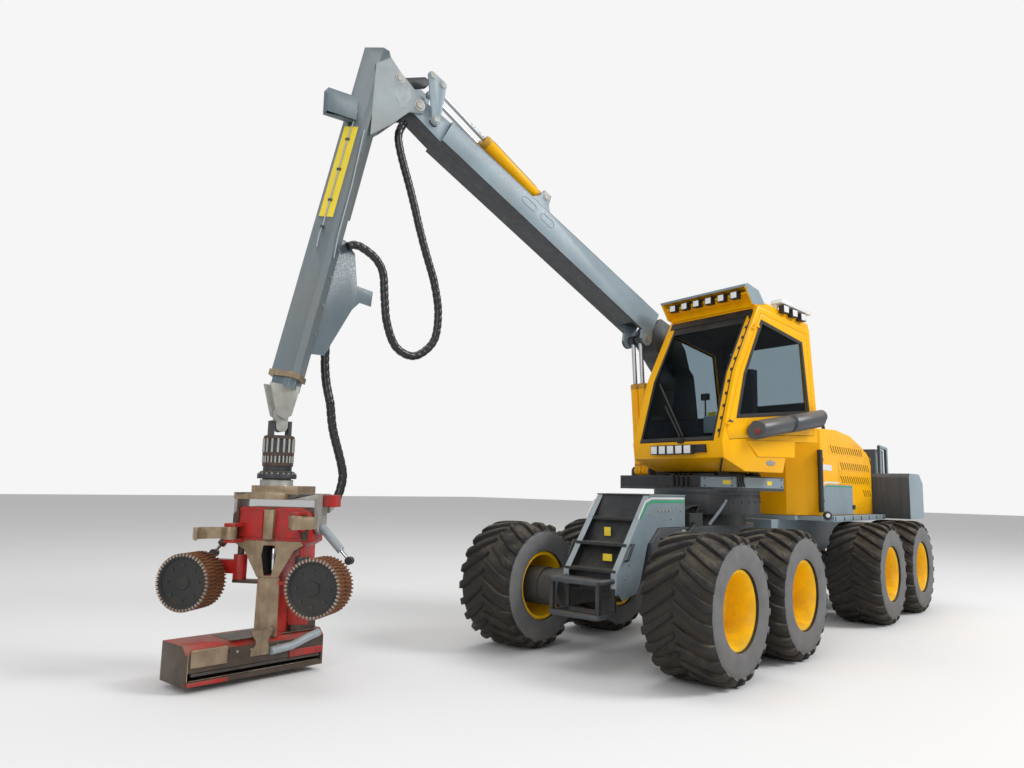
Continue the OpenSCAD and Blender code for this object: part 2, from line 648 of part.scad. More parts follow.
module stick_rods() color(STEEL) crane() {
    v = rod_eye - cyl_base;
    u = v / norm(v);
    low = cyl_base + 640 * u;
    for (s = [-1, 1]) {
        rod([low[0], s * 72, low[1]], [rod_eye[0], s * 72, rod_eye[1]], 26);
        bar_y(rod_eye[0], rod_eye[1], s > 0 ? 46 : -100, s > 0 ? 100 : -46, 48);
        bar_y(rod_eye[0], rod_eye[1], s > 0 ? 99 : -135, s > 0 ? 135 : -99, 28);
    }
}

// Corners of the link's plate, anticlockwise, and each corner moved out by 50 beside one of its edges
link_corners = [link_pin, link_top, rod_eye];
function offset_corner(k, side) = let(a = link_corners[(k + 3 + side) % 3], b = link_corners[(k + 4 + side) % 3],
    u = (b - a) / norm(b - a)) link_corners[k] + 50 * [u[1], -u[0]];

// Two plates with three pins each, on the boom's pin
module link() color(GREY) crane() for (y = [link_in, -link_in - link_t]) difference() {
    union() {
        // Triangular plate with rounded corners
        slab([for (k = [0:2]) each [offset_corner(k, -1), offset_corner(k, 0)]], y, link_t);
        for (p = link_corners) bar_y(p[0], p[1], y, y + link_t, 52);
        for (p = [link_top, rod_eye]) bar_y(p[0], p[1], y - (y < 0 ? 8 : -2), y + link_t + (y > 0 ? 8 : -2), 34);
    }
    bar_y(link_pin[0], link_pin[1], -300, 300, 30.3);
}

module coupler() color(DARK) crane() difference() {
    strap(link_top, ear_pin, 52, -38, 76);
    bar_y(ear_pin[0], ear_pin[1], -300, 300, 30.3);
}

// Stick: its own frame has x across the depth to the front and z up along the stick
stick_foot = [5104.52, 2686.31];
stick_axis = stick_foot + stick_len * [-sin(stick_lean), cos(stick_lean)];
module stick_frame() crane() translate([stick_axis[0], 0, stick_axis[1]]) rotate([0, -stick_lean, 0]) children();
function hexagon(w, d, flat) = [[d / 2, 0], [flat / 2, w / 2], [-flat / 2, w / 2], [-d / 2, 0], [-flat / 2, -w / 2],
    [flat / 2, -w / 2]];
stick_flat = 70;
ext_gap = 5;
pad_gap = 0.5;
module stick() color(GREY) {
    stick_frame() difference() {
        translate([0, 0, -stick_len]) linear_extrude(stick_len) polygon(hexagon(stick_w, stick_d, stick_flat));
        translate([0, 0, -stick_len - 10]) linear_extrude(stick_len - 200)
            polygon(hexagon(stick_w - 2 * stick_wall, stick_d - 3 * stick_wall, stick_flat - 4));
        // Slot for the hose bracket
        translate([-stick_d, -40, -stick_len - 10]) cube([stick_d - 100, 80, 1800]);
    }
    // Scraper collar at the lower end, and the box of the pipes on the front
    stick_frame() difference() {
        translate([0, 0, -stick_len]) linear_extrude(55) polygon(hexagon(stick_w + 36, stick_d + 40, stick_flat + 8));
        translate([0, 0, -stick_len - 1]) linear_extrude(60) polygon(hexagon(stick_w - 20, stick_d - 24, stick_flat - 2));
        translate([-stick_d, -40, -stick_len - 10]) cube([stick_d - 100, 80, 80]);
    }
    crane() translate([4600, 40, 5420]) cube([320, 110, 250]);
    crane() {
        for (s = [-1, 1]) slab([[4250, 6230], [4135, 6110], [3830, 5870], [3830, 5730], [4000, 5700],
            [4200, 5500], [4450, 5300], [4420, 6100]], s > 0 ? ear_in : -ear_in - ear_t, ear_t);
        bar_y(ear_pin[0], ear_pin[1], -ear_in - 1, ear_in + 1, 30);
        bar_y(stick_pin[0], stick_pin[1], -ear_in - 1, ear_in + 1, 45);
    }
}

tip_pin = [5150, 2375];
module extension() color(GREY) {
    stick_frame() translate([0, 0, -stick_len - 90]) linear_extrude(2700)
        polygon(hexagon(stick_w - 2 * stick_wall - 3 * ext_gap, stick_d - 3 * stick_wall - 3 * ext_gap, stick_flat - 8));
    // Wear pads at its upper end, which slide in the stick
    stick_frame() translate([0, 0, 2400 - stick_len]) linear_extrude(120)
        polygon(hexagon(stick_w - 2 * stick_wall - 2 * pad_gap, stick_d - 3 * stick_wall - 2 * pad_gap, stick_flat - 4));
    // Hose bracket on the extension, through the slot
    crane() slab([[4690, 4181], [4594, 4181], [4477, 4058], [4438, 3729], [4257, 3697], [4271, 3536], [4399, 3557],
        [4480, 3472], [4752, 2966], [4940, 2966]], -6, 12);
    // Fork for the tip pin
    crane() {
        for (y = [-100, 70]) slab([[5010, 2620], [5300, 2640], [5220, 2340], [5150, 2300], [5080, 2340]], y, 30);
        bar_y(tip_pin[0], tip_pin[1], -71, 71, 30);
    }
}

// Hanging parts, below the tip pin
cross_z = 2240;
rot_top = 2150;
rot_low = 1740;
module crosshead() color(DARK) crane() difference() {
    strap([tip_pin[0], tip_pin[1]], [tip_pin[0], cross_z], 55, -55, 110);
    bar_y(tip_pin[0], tip_pin[1], -60, 60, 30.3);
    translate([tip_pin[0] - 60, 0, cross_z]) rotate([0, 90, 0]) cylinder(r = 28.3, h = 120);
}
module rotator() color(DARK) crane() {
    translate([tip_pin[0], 0, rot_low]) cylinder(r = 130, h = rot_top - rot_low, $fn = FACES);
    for (x = [-100, 65]) translate([tip_pin[0] + x, -45, rot_top - 1]) cube([35, 90, 140]);
    translate([tip_pin[0] - 66, 0, cross_z]) rotate([0, 90, 0]) cylinder(r = 28, h = 132);
}

hang = [slew_x + tip_pin[0] * cos(slew_right) - crane_off * sin(slew_right),
    -tip_pin[0] * sin(slew_right) - crane_off * cos(slew_right)];
// Head: its own frame has x across it and y to its front, where the trunk lies
head_side = -70;
head_x = hang[0] + head_side * sin(head_face);
head_y = hang[1] - head_side * cos(head_face);
module at_head() translate([head_x, head_y, 0]) rotate([0, 0, head_face - 90]) children();
tilt_z = 1400;
tilt_y = 20;
body_half = 370;
body_front = 200;
ear_gap = 6;
module tilt_frame() color(RED) {
    translate([hang[0], hang[1], rot_low - 60]) cylinder(r = 150, h = 59.7, $fn = FACES);
    at_head() {
        // Top block, its sloped guard and the side plates with their pins
        translate([-240, -180, rot_low - 130]) cube([450, 380, 75]);
        slab([[-150, 1561], [340, 1561], [340, 1595], [60, 1635], [-150, 1620]], 0, 260);
        translate([-body_half - 40, -150, 1560]) cube([2 * body_half + 80, 300, 58]);
        for (x = [-body_half - 40, body_half + 10]) {
            translate([x, tilt_y - 110, tilt_z - 40]) cube([30, 220, 210]);
            translate([x, tilt_y, tilt_z - 40]) rotate([0, 90, 0]) cylinder(r = 110, h = 30);
        }
        for (x = [-body_half - 11, body_half - 79]) translate([x, tilt_y, tilt_z]) rotate([0, 90, 0]) cylinder(r = 40, h = 90);
        // Tilt cylinder's bracket on the side
        slab_x([[-150, 1615], [-300, 1600], [-300, 1500], [-150, 1440]], -body_half - 40, 30);
    }
}

arm_x = 300;
arm_y = 150;
arm_low = 840;
arm_h = 220;
knife_x = 300;
knife_y = 350;
knife_h = 110;
function knife_low(s) = s > 0 ? 1205 : 1320;
// Saw box, in line with the machine: its centre from the head's, and the saw's pivot from that
saw_off = [255, -30];
saw_deep = 420;
saw_h = 320;
module at_saw() translate([head_x + saw_off[0], head_y + saw_off[1], 0]) children();
saw_pivot = [-580, -65];
saw_z = head_low + 60;
module head_body() color(RED) {
    at_head() {
        difference() {
            // Upper body with cut corners, and a box of valves behind it
            union() {
                slab([[-body_half + 90, 1490], [-body_half, 1430], [-body_half, 1190], [-250, 1120], [-105, 870], [105, 870],
                    [250, 1120], [body_half, 1190], [body_half, 1430], [body_half - 90, 1490]], -100, body_front + 100);
                translate([-200, -330, 900]) cube([400, 231, 290]);
            }
            for (x = [-body_half - 16, body_half - 84]) translate([x, tilt_y, tilt_z]) rotate([0, 90, 0]) cylinder(r = 40.3, h = 100);
            // Opening above the column
            slab([[-55, 1150], [-70, 1060], [-35, 885], [35, 885], [70, 1060], [55, 1150]], 40, body_front);
        }
        // Centre rib, column and its hourglass foot
        slab_x([[body_front - 1, 1180], [body_front + 45, 1210], [body_front + 45, 1470], [body_front - 1, 1485]], -45, 90);
        slab([[-105, 871], [105, 871], [112, 360], [-112, 360]], -60, body_front + 40);
        slab([[-105, 440], [105, 440], [35, 320], [85, 210], [-115, 210], [-45, 320]], body_front - 60, 36);
        for (s = [-1, 1]) {
            // Pins and lower lugs of the feed arms
            translate([s * arm_x, arm_y, arm_low - 20]) cylinder(r = 30, h = 330);
            translate([s > 0 ? 104 : -arm_x - 45, arm_y - 45, arm_low - 30]) cube([arm_x - 59, 90, 29.7]);
            // Lugs and pins of the knives
            low = knife_low(s);
            for (z = [low - 30.3, low + knife_h + 0.3])
                translate([s * knife_x - 50, body_front - 10, z]) cube([100, knife_y - body_front + 40, 30]);
            translate([s * knife_x, knife_y, low - 10]) cylinder(r = 25, h = knife_h + 20);
        }
    }
    // Saw box with the slot that the saw swings out of
    at_saw() difference() {
        slab_x([[-saw_deep / 2, head_low], [saw_deep / 2, head_low], [saw_deep / 2, head_low + saw_h - 60],
            [saw_deep / 2 - 60, head_low + saw_h], [-saw_deep / 2, head_low + saw_h]], -saw_box_w / 2, saw_box_w);
        translate([-saw_box_w / 2 + 20, -saw_deep / 2 + 30, head_low + 40]) cube([saw_box_w - 40, saw_deep, 70]);
    }
    at_saw() translate([saw_pivot[0], saw_pivot[1], head_low + 39]) cylinder(r = 20, h = 72);
}

module feed_arm(s) color(RED) at_head() {
    difference() {
        union() {
            translate([s * arm_x, arm_y, arm_low]) cylinder(r = 60, h = arm_h);
            translate([0, arm_y, arm_low + 50]) linear_extrude(120) polygon([[s * 290, -40], [s * roller_half, -60],
                [s * (roller_half + 60), 0], [s * (roller_half + 60), 60], [s * (roller_half - 60), 60], [s * 290, 40]]);
        }
        translate([s * arm_x, arm_y, arm_low - 1]) cylinder(r = 30.3, h = arm_h + 2);
    }
    // Motor and the shaft it turns the roller on
    translate([s * roller_half, arm_y + 50, arm_low]) rotate([-90, 0, 0]) cylinder(r = 110, h = 69);
    translate([s * roller_half, arm_y + 118, arm_low]) rotate([-90, 0, 0]) cylinder(r = 50, h = 255);
}

// Ribbed roller: a drum with its end plate, open behind
roller_ribs = 24;
module feed_roller(s) color(STEEL) at_head() translate([s * roller_half, arm_y + 125, arm_low]) rotate([-90, 0, 0]) difference() {
    union() {
        cylinder(r = roller_d / 2 - 14, h = roller_w, $fn = FACES);
        for (i = [0:roller_ribs - 1]) rotate([0, 0, i * 360 / roller_ribs])
            translate([roller_d / 2 - 34, -9, 0]) cube([34, 18, roller_w]);
    }
    translate([0, 0, -1]) cylinder(r = roller_d / 2 - 45, h = roller_w - 60);
    translate([0, 0, -1]) cylinder(r = 50.3, h = 251);
}

module knife(s) color(STEEL) at_head() difference() {
    union() {
        translate([s * knife_x, knife_y, knife_low(s)]) cylinder(r = 50, h = knife_h);
        translate([0, knife_y - 40, knife_low(s) + 5]) linear_extrude(knife_h - 10) polygon([[s * 290, 0], [s * 400, -10],
            [s * 540, 90], [s * 560, 210], [s * 440, 370], [s * 428, 356], [s * 510, 215], [s * 480, 120], [s * 380, 60],
            [s * 290, 80]]);
    }
    translate([s * knife_x, knife_y, knife_low(s) - 1]) cylinder(r = 25.3, h = knife_h + 2);
}

module saw_bar() color(STEEL) at_saw() difference() {
    translate([0, 0, saw_z]) linear_extrude(12) polygon([[-615, -100], [300, -120], [380, -70], [300, -20], [-615, -30]]);
    translate([saw_pivot[0], saw_pivot[1], saw_z - 1]) cylinder(r = 20.3, h = 14);
}

// Hoses: points in the crane's plane, swept as round tubes
loop_route = [[3980, 0, 5640], [4060, 42.4, 5460], [4020, 42.4, 5250], [3880, 42.4, 4860], [3710, 42.4, 4340], [3560, 42.4, 3950],
    [3490, 42.4, 3630], [3510, 42.4, 3320], [3630, 42.4, 3150], [3800, 42.4, 3070], [3990, 42.4, 3150], [4100, 42.4, 3380],
    [4140, 42.4, 3640], [4170, 42.4, 3900], [4260, 42.4, 4040], [4400, 42.4, 4120], [4500, 42.4, 4140], [4580, 42.4, 4110]];
drop_route = [[4700, -42.4, 3300], [4720, -42.4, 3100], [4720, -42.4, 2900], [4700, -30, 2700], [4660, 0, 2500], [4620, 0, 2250],
    [4540, 0, 2000], [4490, 0, 1800], [4520, 0, 1620], [4580, 0, 1520]];
SIDES = 10;
// Catmull-Rom curve through the route's points
function spline(p, i, t) = let (n = len(p), a = p[max(i - 1, 0)], b = p[i], c = p[min(i + 1, n - 1)], d = p[min(i + 2, n - 1)])
    0.5 * (2 * b + (c - a) * t + (2 * a - 5 * b + 4 * c - d) * t * t + (3 * b - a - 3 * c + d) * t * t * t);
function path(p, k) = concat([for (i = [0:len(p) - 2]) for (j = [0:k - 1]) spline(p, i, j / k)], [p[len(p) - 1]]);
function ring(q, i, r) = let (n = len(q), t = unit(q[min(i + 1, n - 1)] - q[max(i - 1, 0)]), u = unit(cross([0, 1, 0], t)),
    w = cross(t, u)) [for (j = [0:SIDES - 1]) q[i] + r * (u * cos(j * 360 / SIDES) + w * sin(j * 360 / SIDES))];
module hose(route, k, r) {
    q = path(route, k);
    n = len(q);
    pts = [for (i = [0:n - 1]) for (v = ring(q, i, r)) v];
    polyhedron(pts, concat([[for (j = [0:SIDES - 1]) j]], [[for (j = [SIDES - 1:-1:0]) (n - 1) * SIDES + j]],
        [for (i = [0:n - 2]) for (j = [0:SIDES - 1]) let (a = i * SIDES + j, b = i * SIDES + (j + 1) % SIDES)
            [b, a, a + SIDES, b + SIDES]]));
}
module hose_loop() color("black") crane() hose(loop_route, 3, 38);
module hose_drop() color("black") crane() hose(drop_route, 3, 38);

front_frame();
front_axle();
front_step();
rear_frame();
rear_axle();
engine();
rear_box();
hood();
hood_rails();
tyre_at(0, 1);  // tyre_fl1
tyre_at(-bogie_gap, 1);  // tyre_fl2
tyre_at(0, -1);  // tyre_fr1
tyre_at(-bogie_gap, -1);  // tyre_fr2
tyre_at(rear_first_x, 1);  // tyre_rl1
tyre_at(rear_first_x - bogie_gap, 1);  // tyre_rl2
tyre_at(rear_first_x, -1);  // tyre_rr1
tyre_at(rear_first_x - bogie_gap, -1);  // tyre_rr2
rim_at(0, 1);  // rim_fl1
rim_at(-bogie_gap, 1);  // rim_fl2
rim_at(0, -1);  // rim_fr1
rim_at(-bogie_gap, -1);  // rim_fr2
rim_at(rear_first_x, 1);  // rim_rl1
rim_at(rear_first_x - bogie_gap, 1);  // rim_rl2
rim_at(rear_first_x, -1);  // rim_rr1
rim_at(rear_first_x - bogie_gap, -1);  // rim_rr2
turntable();
cab_shell();
cab_roof();
cab_glass();
seat();
work_lamps();
cab_door();
door_glass();
lift_barrels();
lift_rods();
boom();
stick_barrels();
stick_rods();
link();
coupler();
stick();
extension();
crosshead();
rotator();
tilt_frame();
head_body();
feed_arm(-1);  // feed_arm_left
feed_arm(1);  // feed_arm_right
feed_roller(-1);  // feed_roller_left
feed_roller(1);  // feed_roller_right
knife(-1);  // knife_left
knife(1);  // knife_right
saw_bar();
hose_loop();
hose_drop();
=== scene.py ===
# %% [markdown]
# # A forestry harvester, dressed for its portrait
# The CAD frame gives every piece its place and size in metres: +X is forward, +Y the machine's left
# side, the ground is z = 0. This file gives those pieces rounded edges, paint, rubber, mud and glass,
# and adds what is too small for the CAD: lugs, bolts, louvres, pipes, lamps and hoses.

# %% Load the frame
import bpy
import bmesh
import json
import math
from mathutils import Matrix, Vector


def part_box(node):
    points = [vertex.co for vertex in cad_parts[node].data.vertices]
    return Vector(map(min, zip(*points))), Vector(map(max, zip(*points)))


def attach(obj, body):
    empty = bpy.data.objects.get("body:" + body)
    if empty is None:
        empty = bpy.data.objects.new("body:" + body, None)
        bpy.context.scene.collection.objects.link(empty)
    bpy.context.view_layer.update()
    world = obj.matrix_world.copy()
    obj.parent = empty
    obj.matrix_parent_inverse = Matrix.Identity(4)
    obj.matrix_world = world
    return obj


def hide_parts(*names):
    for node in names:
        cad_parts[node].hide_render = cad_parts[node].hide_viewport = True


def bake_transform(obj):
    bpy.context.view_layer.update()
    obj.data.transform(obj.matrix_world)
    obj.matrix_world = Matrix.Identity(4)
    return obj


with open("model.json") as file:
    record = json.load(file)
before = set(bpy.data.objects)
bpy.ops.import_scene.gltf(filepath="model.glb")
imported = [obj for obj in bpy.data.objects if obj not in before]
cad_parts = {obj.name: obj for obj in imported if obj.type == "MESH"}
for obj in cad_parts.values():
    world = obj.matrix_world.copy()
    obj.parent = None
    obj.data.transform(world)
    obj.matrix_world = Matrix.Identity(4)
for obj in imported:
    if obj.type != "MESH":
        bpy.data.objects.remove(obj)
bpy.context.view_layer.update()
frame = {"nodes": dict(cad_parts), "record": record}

# %% [markdown]
# The camera comes first. Its lens, place and tilt were fitted to the rims of five wheels in the photograph
# and kept near a guessed lens, wheel spacing and track. A camera looks along its own -Z, so the three
# directions below are written as the columns of its matrix.

# %% Camera
YAW, PITCH, ROLL = math.radians(41.49), math.radians(7.61), math.radians(1.22)
FOCAL_PX, PICTURE_PX, SENSOR_MM = 767.014, 1024, 36
CAMERA_AT = (6.648, 4.557, 1.723)
look = Vector((-math.cos(YAW) * math.cos(PITCH), -math.sin(YAW) * math.cos(PITCH), math.sin(PITCH)))
level = look.cross(Vector((0, 0, 1))).normalized()
upright = level.cross(look)
across = math.cos(ROLL) * level + math.sin(ROLL) * upright
above = -math.sin(ROLL) * level + math.cos(ROLL) * upright
lens = bpy.data.cameras.new("portrait_lens")
lens.sensor_width = SENSOR_MM
lens.lens = FOCAL_PX / PICTURE_PX * SENSOR_MM
lens.clip_end = 200
camera = bpy.data.objects.new("portrait_camera", lens)
bpy.context.scene.collection.objects.link(camera)
turn = Matrix((across, above, -look)).transposed().to_4x4()
camera.matrix_world = Matrix.Translation(CAMERA_AT) @ turn
bpy.context.scene.camera = camera
print("lens", round(lens.lens, 2), "mm")

# %% [markdown]
# A few helpers stand in for a maker's jigs. The upper part of the machine is turned 12 degrees to the
# right, so pieces on it are drawn straight and then placed with one matrix; the crane has its own plane
# beside the cab, and the stick and the cylinders have theirs along their length.

# %% Places
SLEW_X, SLEW_TURN, CRANE_SIDE = -2.2, math.radians(12), 0.83
UPPER = Matrix.Translation((SLEW_X, 0, 0)) @ Matrix.Rotation(-SLEW_TURN, 4, "Z")
CRANE = UPPER @ Matrix.Translation((0, -CRANE_SIDE, 0))


def tilted(base, x, z, degrees):
    "A frame in the x-z plane of base, at (x, z), whose x axis rises by degrees."
    return base @ Matrix.Translation((x, 0, z)) @ Matrix.Rotation(math.radians(-degrees), 4, "Y")


BOOM = tilted(CRANE, 0.220, 3.892, 27.6)
STICK = tilted(CRANE, 4.310, 6.300, 12.4)
HEAD = Matrix.Translation((2.629, -1.823, 0)) @ Matrix.Rotation(math.radians(-59), 4, "Z")
SAW = Matrix.Translation((2.884, -1.853, 0))
print("boom starts at", [round(v, 2) for v in BOOM.translation])

# %% [markdown]
# The shop's tools: a modifier that is applied at once, rounding, a plate cut from an outline, a block, a
# disc, a spun profile, a pipe, copies and joins. Each one leaves its object at the origin with its place in
# the mesh, as the CAD nodes have it, so pieces can ride on a body without any further bookkeeping.

# %% Modelling helpers
def only(piece):
    "Select one object and make it active, with all else deselected."
    bpy.ops.object.select_all(action="DESELECT")
    piece.select_set(True)
    bpy.context.view_layer.objects.active = piece


def modify(piece, kind, **values):
    "Add a modifier, set it and apply it."
    only(piece)
    bpy.ops.object.modifier_add(type=kind)
    modifier = piece.modifiers[-1]
    for key, value in values.items():
        setattr(modifier, key, value)
    bpy.ops.object.modifier_apply(modifier=modifier.name)
    return piece


def rounded(piece, width=0.005, segments=2, angle=32, edge_slot=-1):
    "Round the edges that are sharper than angle; edge_slot gives the rounded faces their own material."
    return modify(piece, "BEVEL", width=width, segments=segments, limit_method="ANGLE",
                  angle_limit=math.radians(angle), use_clamp_overlap=True, material=edge_slot)


def smoothed(piece, angle=35):
    "Shade smooth, but keep the edges that are sharper than angle."
    only(piece)
    bpy.ops.object.shade_smooth_by_angle(angle=math.radians(angle))
    return piece


def new_piece(name, points, faces, edges=()):
    "An object with a mesh of its own."
    mesh = bpy.data.meshes.new(name)
    mesh.from_pydata([tuple(p) for p in points], list(edges), faces)
    piece = bpy.data.objects.new(name, mesh)
    bpy.context.scene.collection.objects.link(piece)
    return piece


def placed(piece, place):
    "Move a piece's mesh to its place, where one is given."
    if place is not None:
        piece.data.transform(place)
    return piece


def edit_all(piece):
    "Open a piece for editing, with all of its mesh selected."
    only(piece)
    bpy.ops.object.mode_set(mode="EDIT")
    bpy.ops.mesh.select_all(action="SELECT")


def outward(piece):
    "Make all faces point outwards."
    edit_all(piece)
    bpy.ops.mesh.remove_doubles(threshold=0.00005)
    bpy.ops.mesh.normals_make_consistent(inside=False)
    bpy.ops.object.mode_set(mode="OBJECT")
    return piece


def sheet_metal(name, outline, thick, place=None, at=0.0):
    "A flat outline in the x-z plane, extruded along y by thick from at."
    piece = new_piece(name, [(u, at, v) for u, v in outline], [list(range(len(outline)))])
    edit_all(piece)
    bpy.ops.mesh.extrude_region_move(TRANSFORM_OT_translate={"value": (0, thick, 0)})
    bpy.ops.object.mode_set(mode="OBJECT")
    return placed(outward(piece), place)


def block(name, low, high, place=None):
    "A block between two corners."
    size = [b - a for a, b in zip(low, high)]
    middle = [(a + b) / 2 for a, b in zip(low, high)]
    bpy.ops.object.select_all(action="DESELECT")
    bpy.ops.mesh.primitive_cube_add(size=1, location=(0, 0, 0))
    piece = bpy.context.active_object
    piece.name = name
    piece.data.transform(Matrix.Translation(middle) @ Matrix.Diagonal((*size, 1)))
    return placed(piece, place)


def disc(name, centre, axis, radius, length, sides=32, place=None, rim=0.0):
    "A round piece that starts at centre and runs along axis, with its edges bevelled by rim."
    bpy.ops.object.select_all(action="DESELECT")
    bpy.ops.mesh.primitive_cylinder_add(vertices=sides, radius=radius, depth=length)
    piece = bpy.context.active_object
    piece.name = name
    turn = Vector((0, 0, 1)).rotation_difference(Vector(axis)).to_matrix().to_4x4()
    piece.data.transform(Matrix.Translation(centre) @ turn @ Matrix.Translation((0, 0, length / 2)))
    if rim:
        rounded(piece, rim, 2, 40)
    return placed(piece, place)


def lathe(name, profile, centre, axis="Y", steps=64, place=None):
    "Spin a profile of (radius, along) points round an axis through centre."
    at = {"Y": lambda r, a: (r, a, 0), "Z": lambda r, a: (r, 0, a), "X": lambda r, a: (a, r, 0)}[axis]
    piece = new_piece(name, [at(r, a) for r, a in profile], [],
                      [(i, i + 1) for i in range(len(profile) - 1)])
    edit_all(piece)
    spin_axis = {"X": (1, 0, 0), "Y": (0, 1, 0), "Z": (0, 0, 1)}[axis]
    bpy.ops.mesh.spin(steps=steps, angle=2 * math.pi, center=(0, 0, 0), axis=spin_axis)
    bpy.ops.object.mode_set(mode="OBJECT")
    outward(piece)
    piece.data.transform(Matrix.Translation(centre))
    return placed(piece, place)


def carried(side, along):
    "A direction across along that turns as little as can be from the side before it."
    return (along.orthogonal() if side is None else side - along * side.dot(along)).normalized()


def tube_faces(rings, sides):
    "The faces of a tube of so many rings, closed at both ends."
    faces = []
    for i in range(rings - 1):
        for k in range(sides):
            a, b = i * sides, (k + 1) % sides
            faces.append([a + k, a + b, a + sides + b, a + sides + k])
    last = (rings - 1) * sides
    return faces + [list(range(sides))[::-1], [last + k for k in range(sides)]]


def pipe(name, points, radius, sides=10, place=None):
    "A round pipe along points, with its bends kept mitred."
    points = [Vector(p) for p in points]
    rings, side = [], None
    for i, p in enumerate(points):
        a, b = points[max(i - 1, 0)], points[min(i + 1, len(points) - 1)]
        along = (b - a).normalized()
        side = carried(side, along)
        other = along.cross(side)
        stretch = 1.0
        if 0 < i < len(points) - 1:
            stretch = 1 / max(0.5, math.cos((p - a).angle(b - p) / 2))
        for t in (2 * math.pi * k / sides for k in range(sides)):
            rings.append(p + (side * math.cos(t) + other * math.sin(t)) * radius * stretch)
    piece = new_piece(name, rings, tube_faces(len(points), sides))
    return smoothed(outward(placed(piece, place)), 50)


def joined(name, pieces):
    "Join pieces into one object."
    only(pieces[0])
    for piece in pieces:
        piece.select_set(True)
    bpy.ops.object.join()
    pieces[0].name = name
    pieces[0].data.name = name
    return pieces[0]


def repeated(piece, places):
    "Copies of one piece at each matrix, joined; each copy has its own mesh."
    copies = []
    for place in places:
        copy = piece.copy()
        copy.data = piece.data.copy()
        bpy.context.scene.collection.objects.link(copy)
        copy.data.transform(place)
        copies.append(copy)
    bpy.data.objects.remove(piece)
    return joined(copies[0].name, copies)


def round_row(piece, count, axis="Z", place=None):
    "Copies of a piece, evenly spaced round an axis through the origin and then moved to their place."
    row = repeated(piece, [Matrix.Rotation(k * 2 * math.pi / count, 4, axis) for k in range(count)])
    return placed(row, place)


def recolour(piece, surface, test, place=Matrix.Identity(4)):
    "Give the faces that pass a test, at points of place's frame, another material."
    back = place.inverted()
    piece.data.materials.append(surface)
    index = len(piece.data.materials) - 1
    turned = back.to_3x3()
    hits = 0
    for face in piece.data.polygons:
        if test(back @ face.center, turned @ face.normal):
            face.material_index = index
            hits += 1
    return hits


def repaint(node, surface, test, place=Matrix.Identity(4)):
    "Recolour faces of the dressed copy of a CAD node."
    return recolour(bpy.data.objects[node + "_dressed"], surface, test, place)


def coated(piece, *materials):
    "Give a piece these materials and no others."
    piece.data.materials.clear()
    for material in materials:
        piece.data.materials.append(material)
    return piece


def finish(piece, body, *materials):
    "Give a piece its materials and the body that it rides on."
    coated(piece, *materials)
    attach(piece, body)
    return piece

# %% [markdown]
# ## Finishes
# One node group makes the weathering that every finish shares: broad patches, fine grain, dust that
# settles on what faces up, and mud thrown up from the ground. It reads object coordinates, which are the
# machine's own metres, so nothing slides when the camera moves. Each material mixes those masks its own way.

# %% Weathering group
def srgb(r, g, b):
    "A colour as the eye sees it (0 to 255), as the linear values that Blender wants."
    def linear(c):
        c /= 255
        return c / 12.92 if c < 0.04045 else ((c + 0.055) / 1.055) ** 2.4
    return (linear(r), linear(g), linear(b), 1)


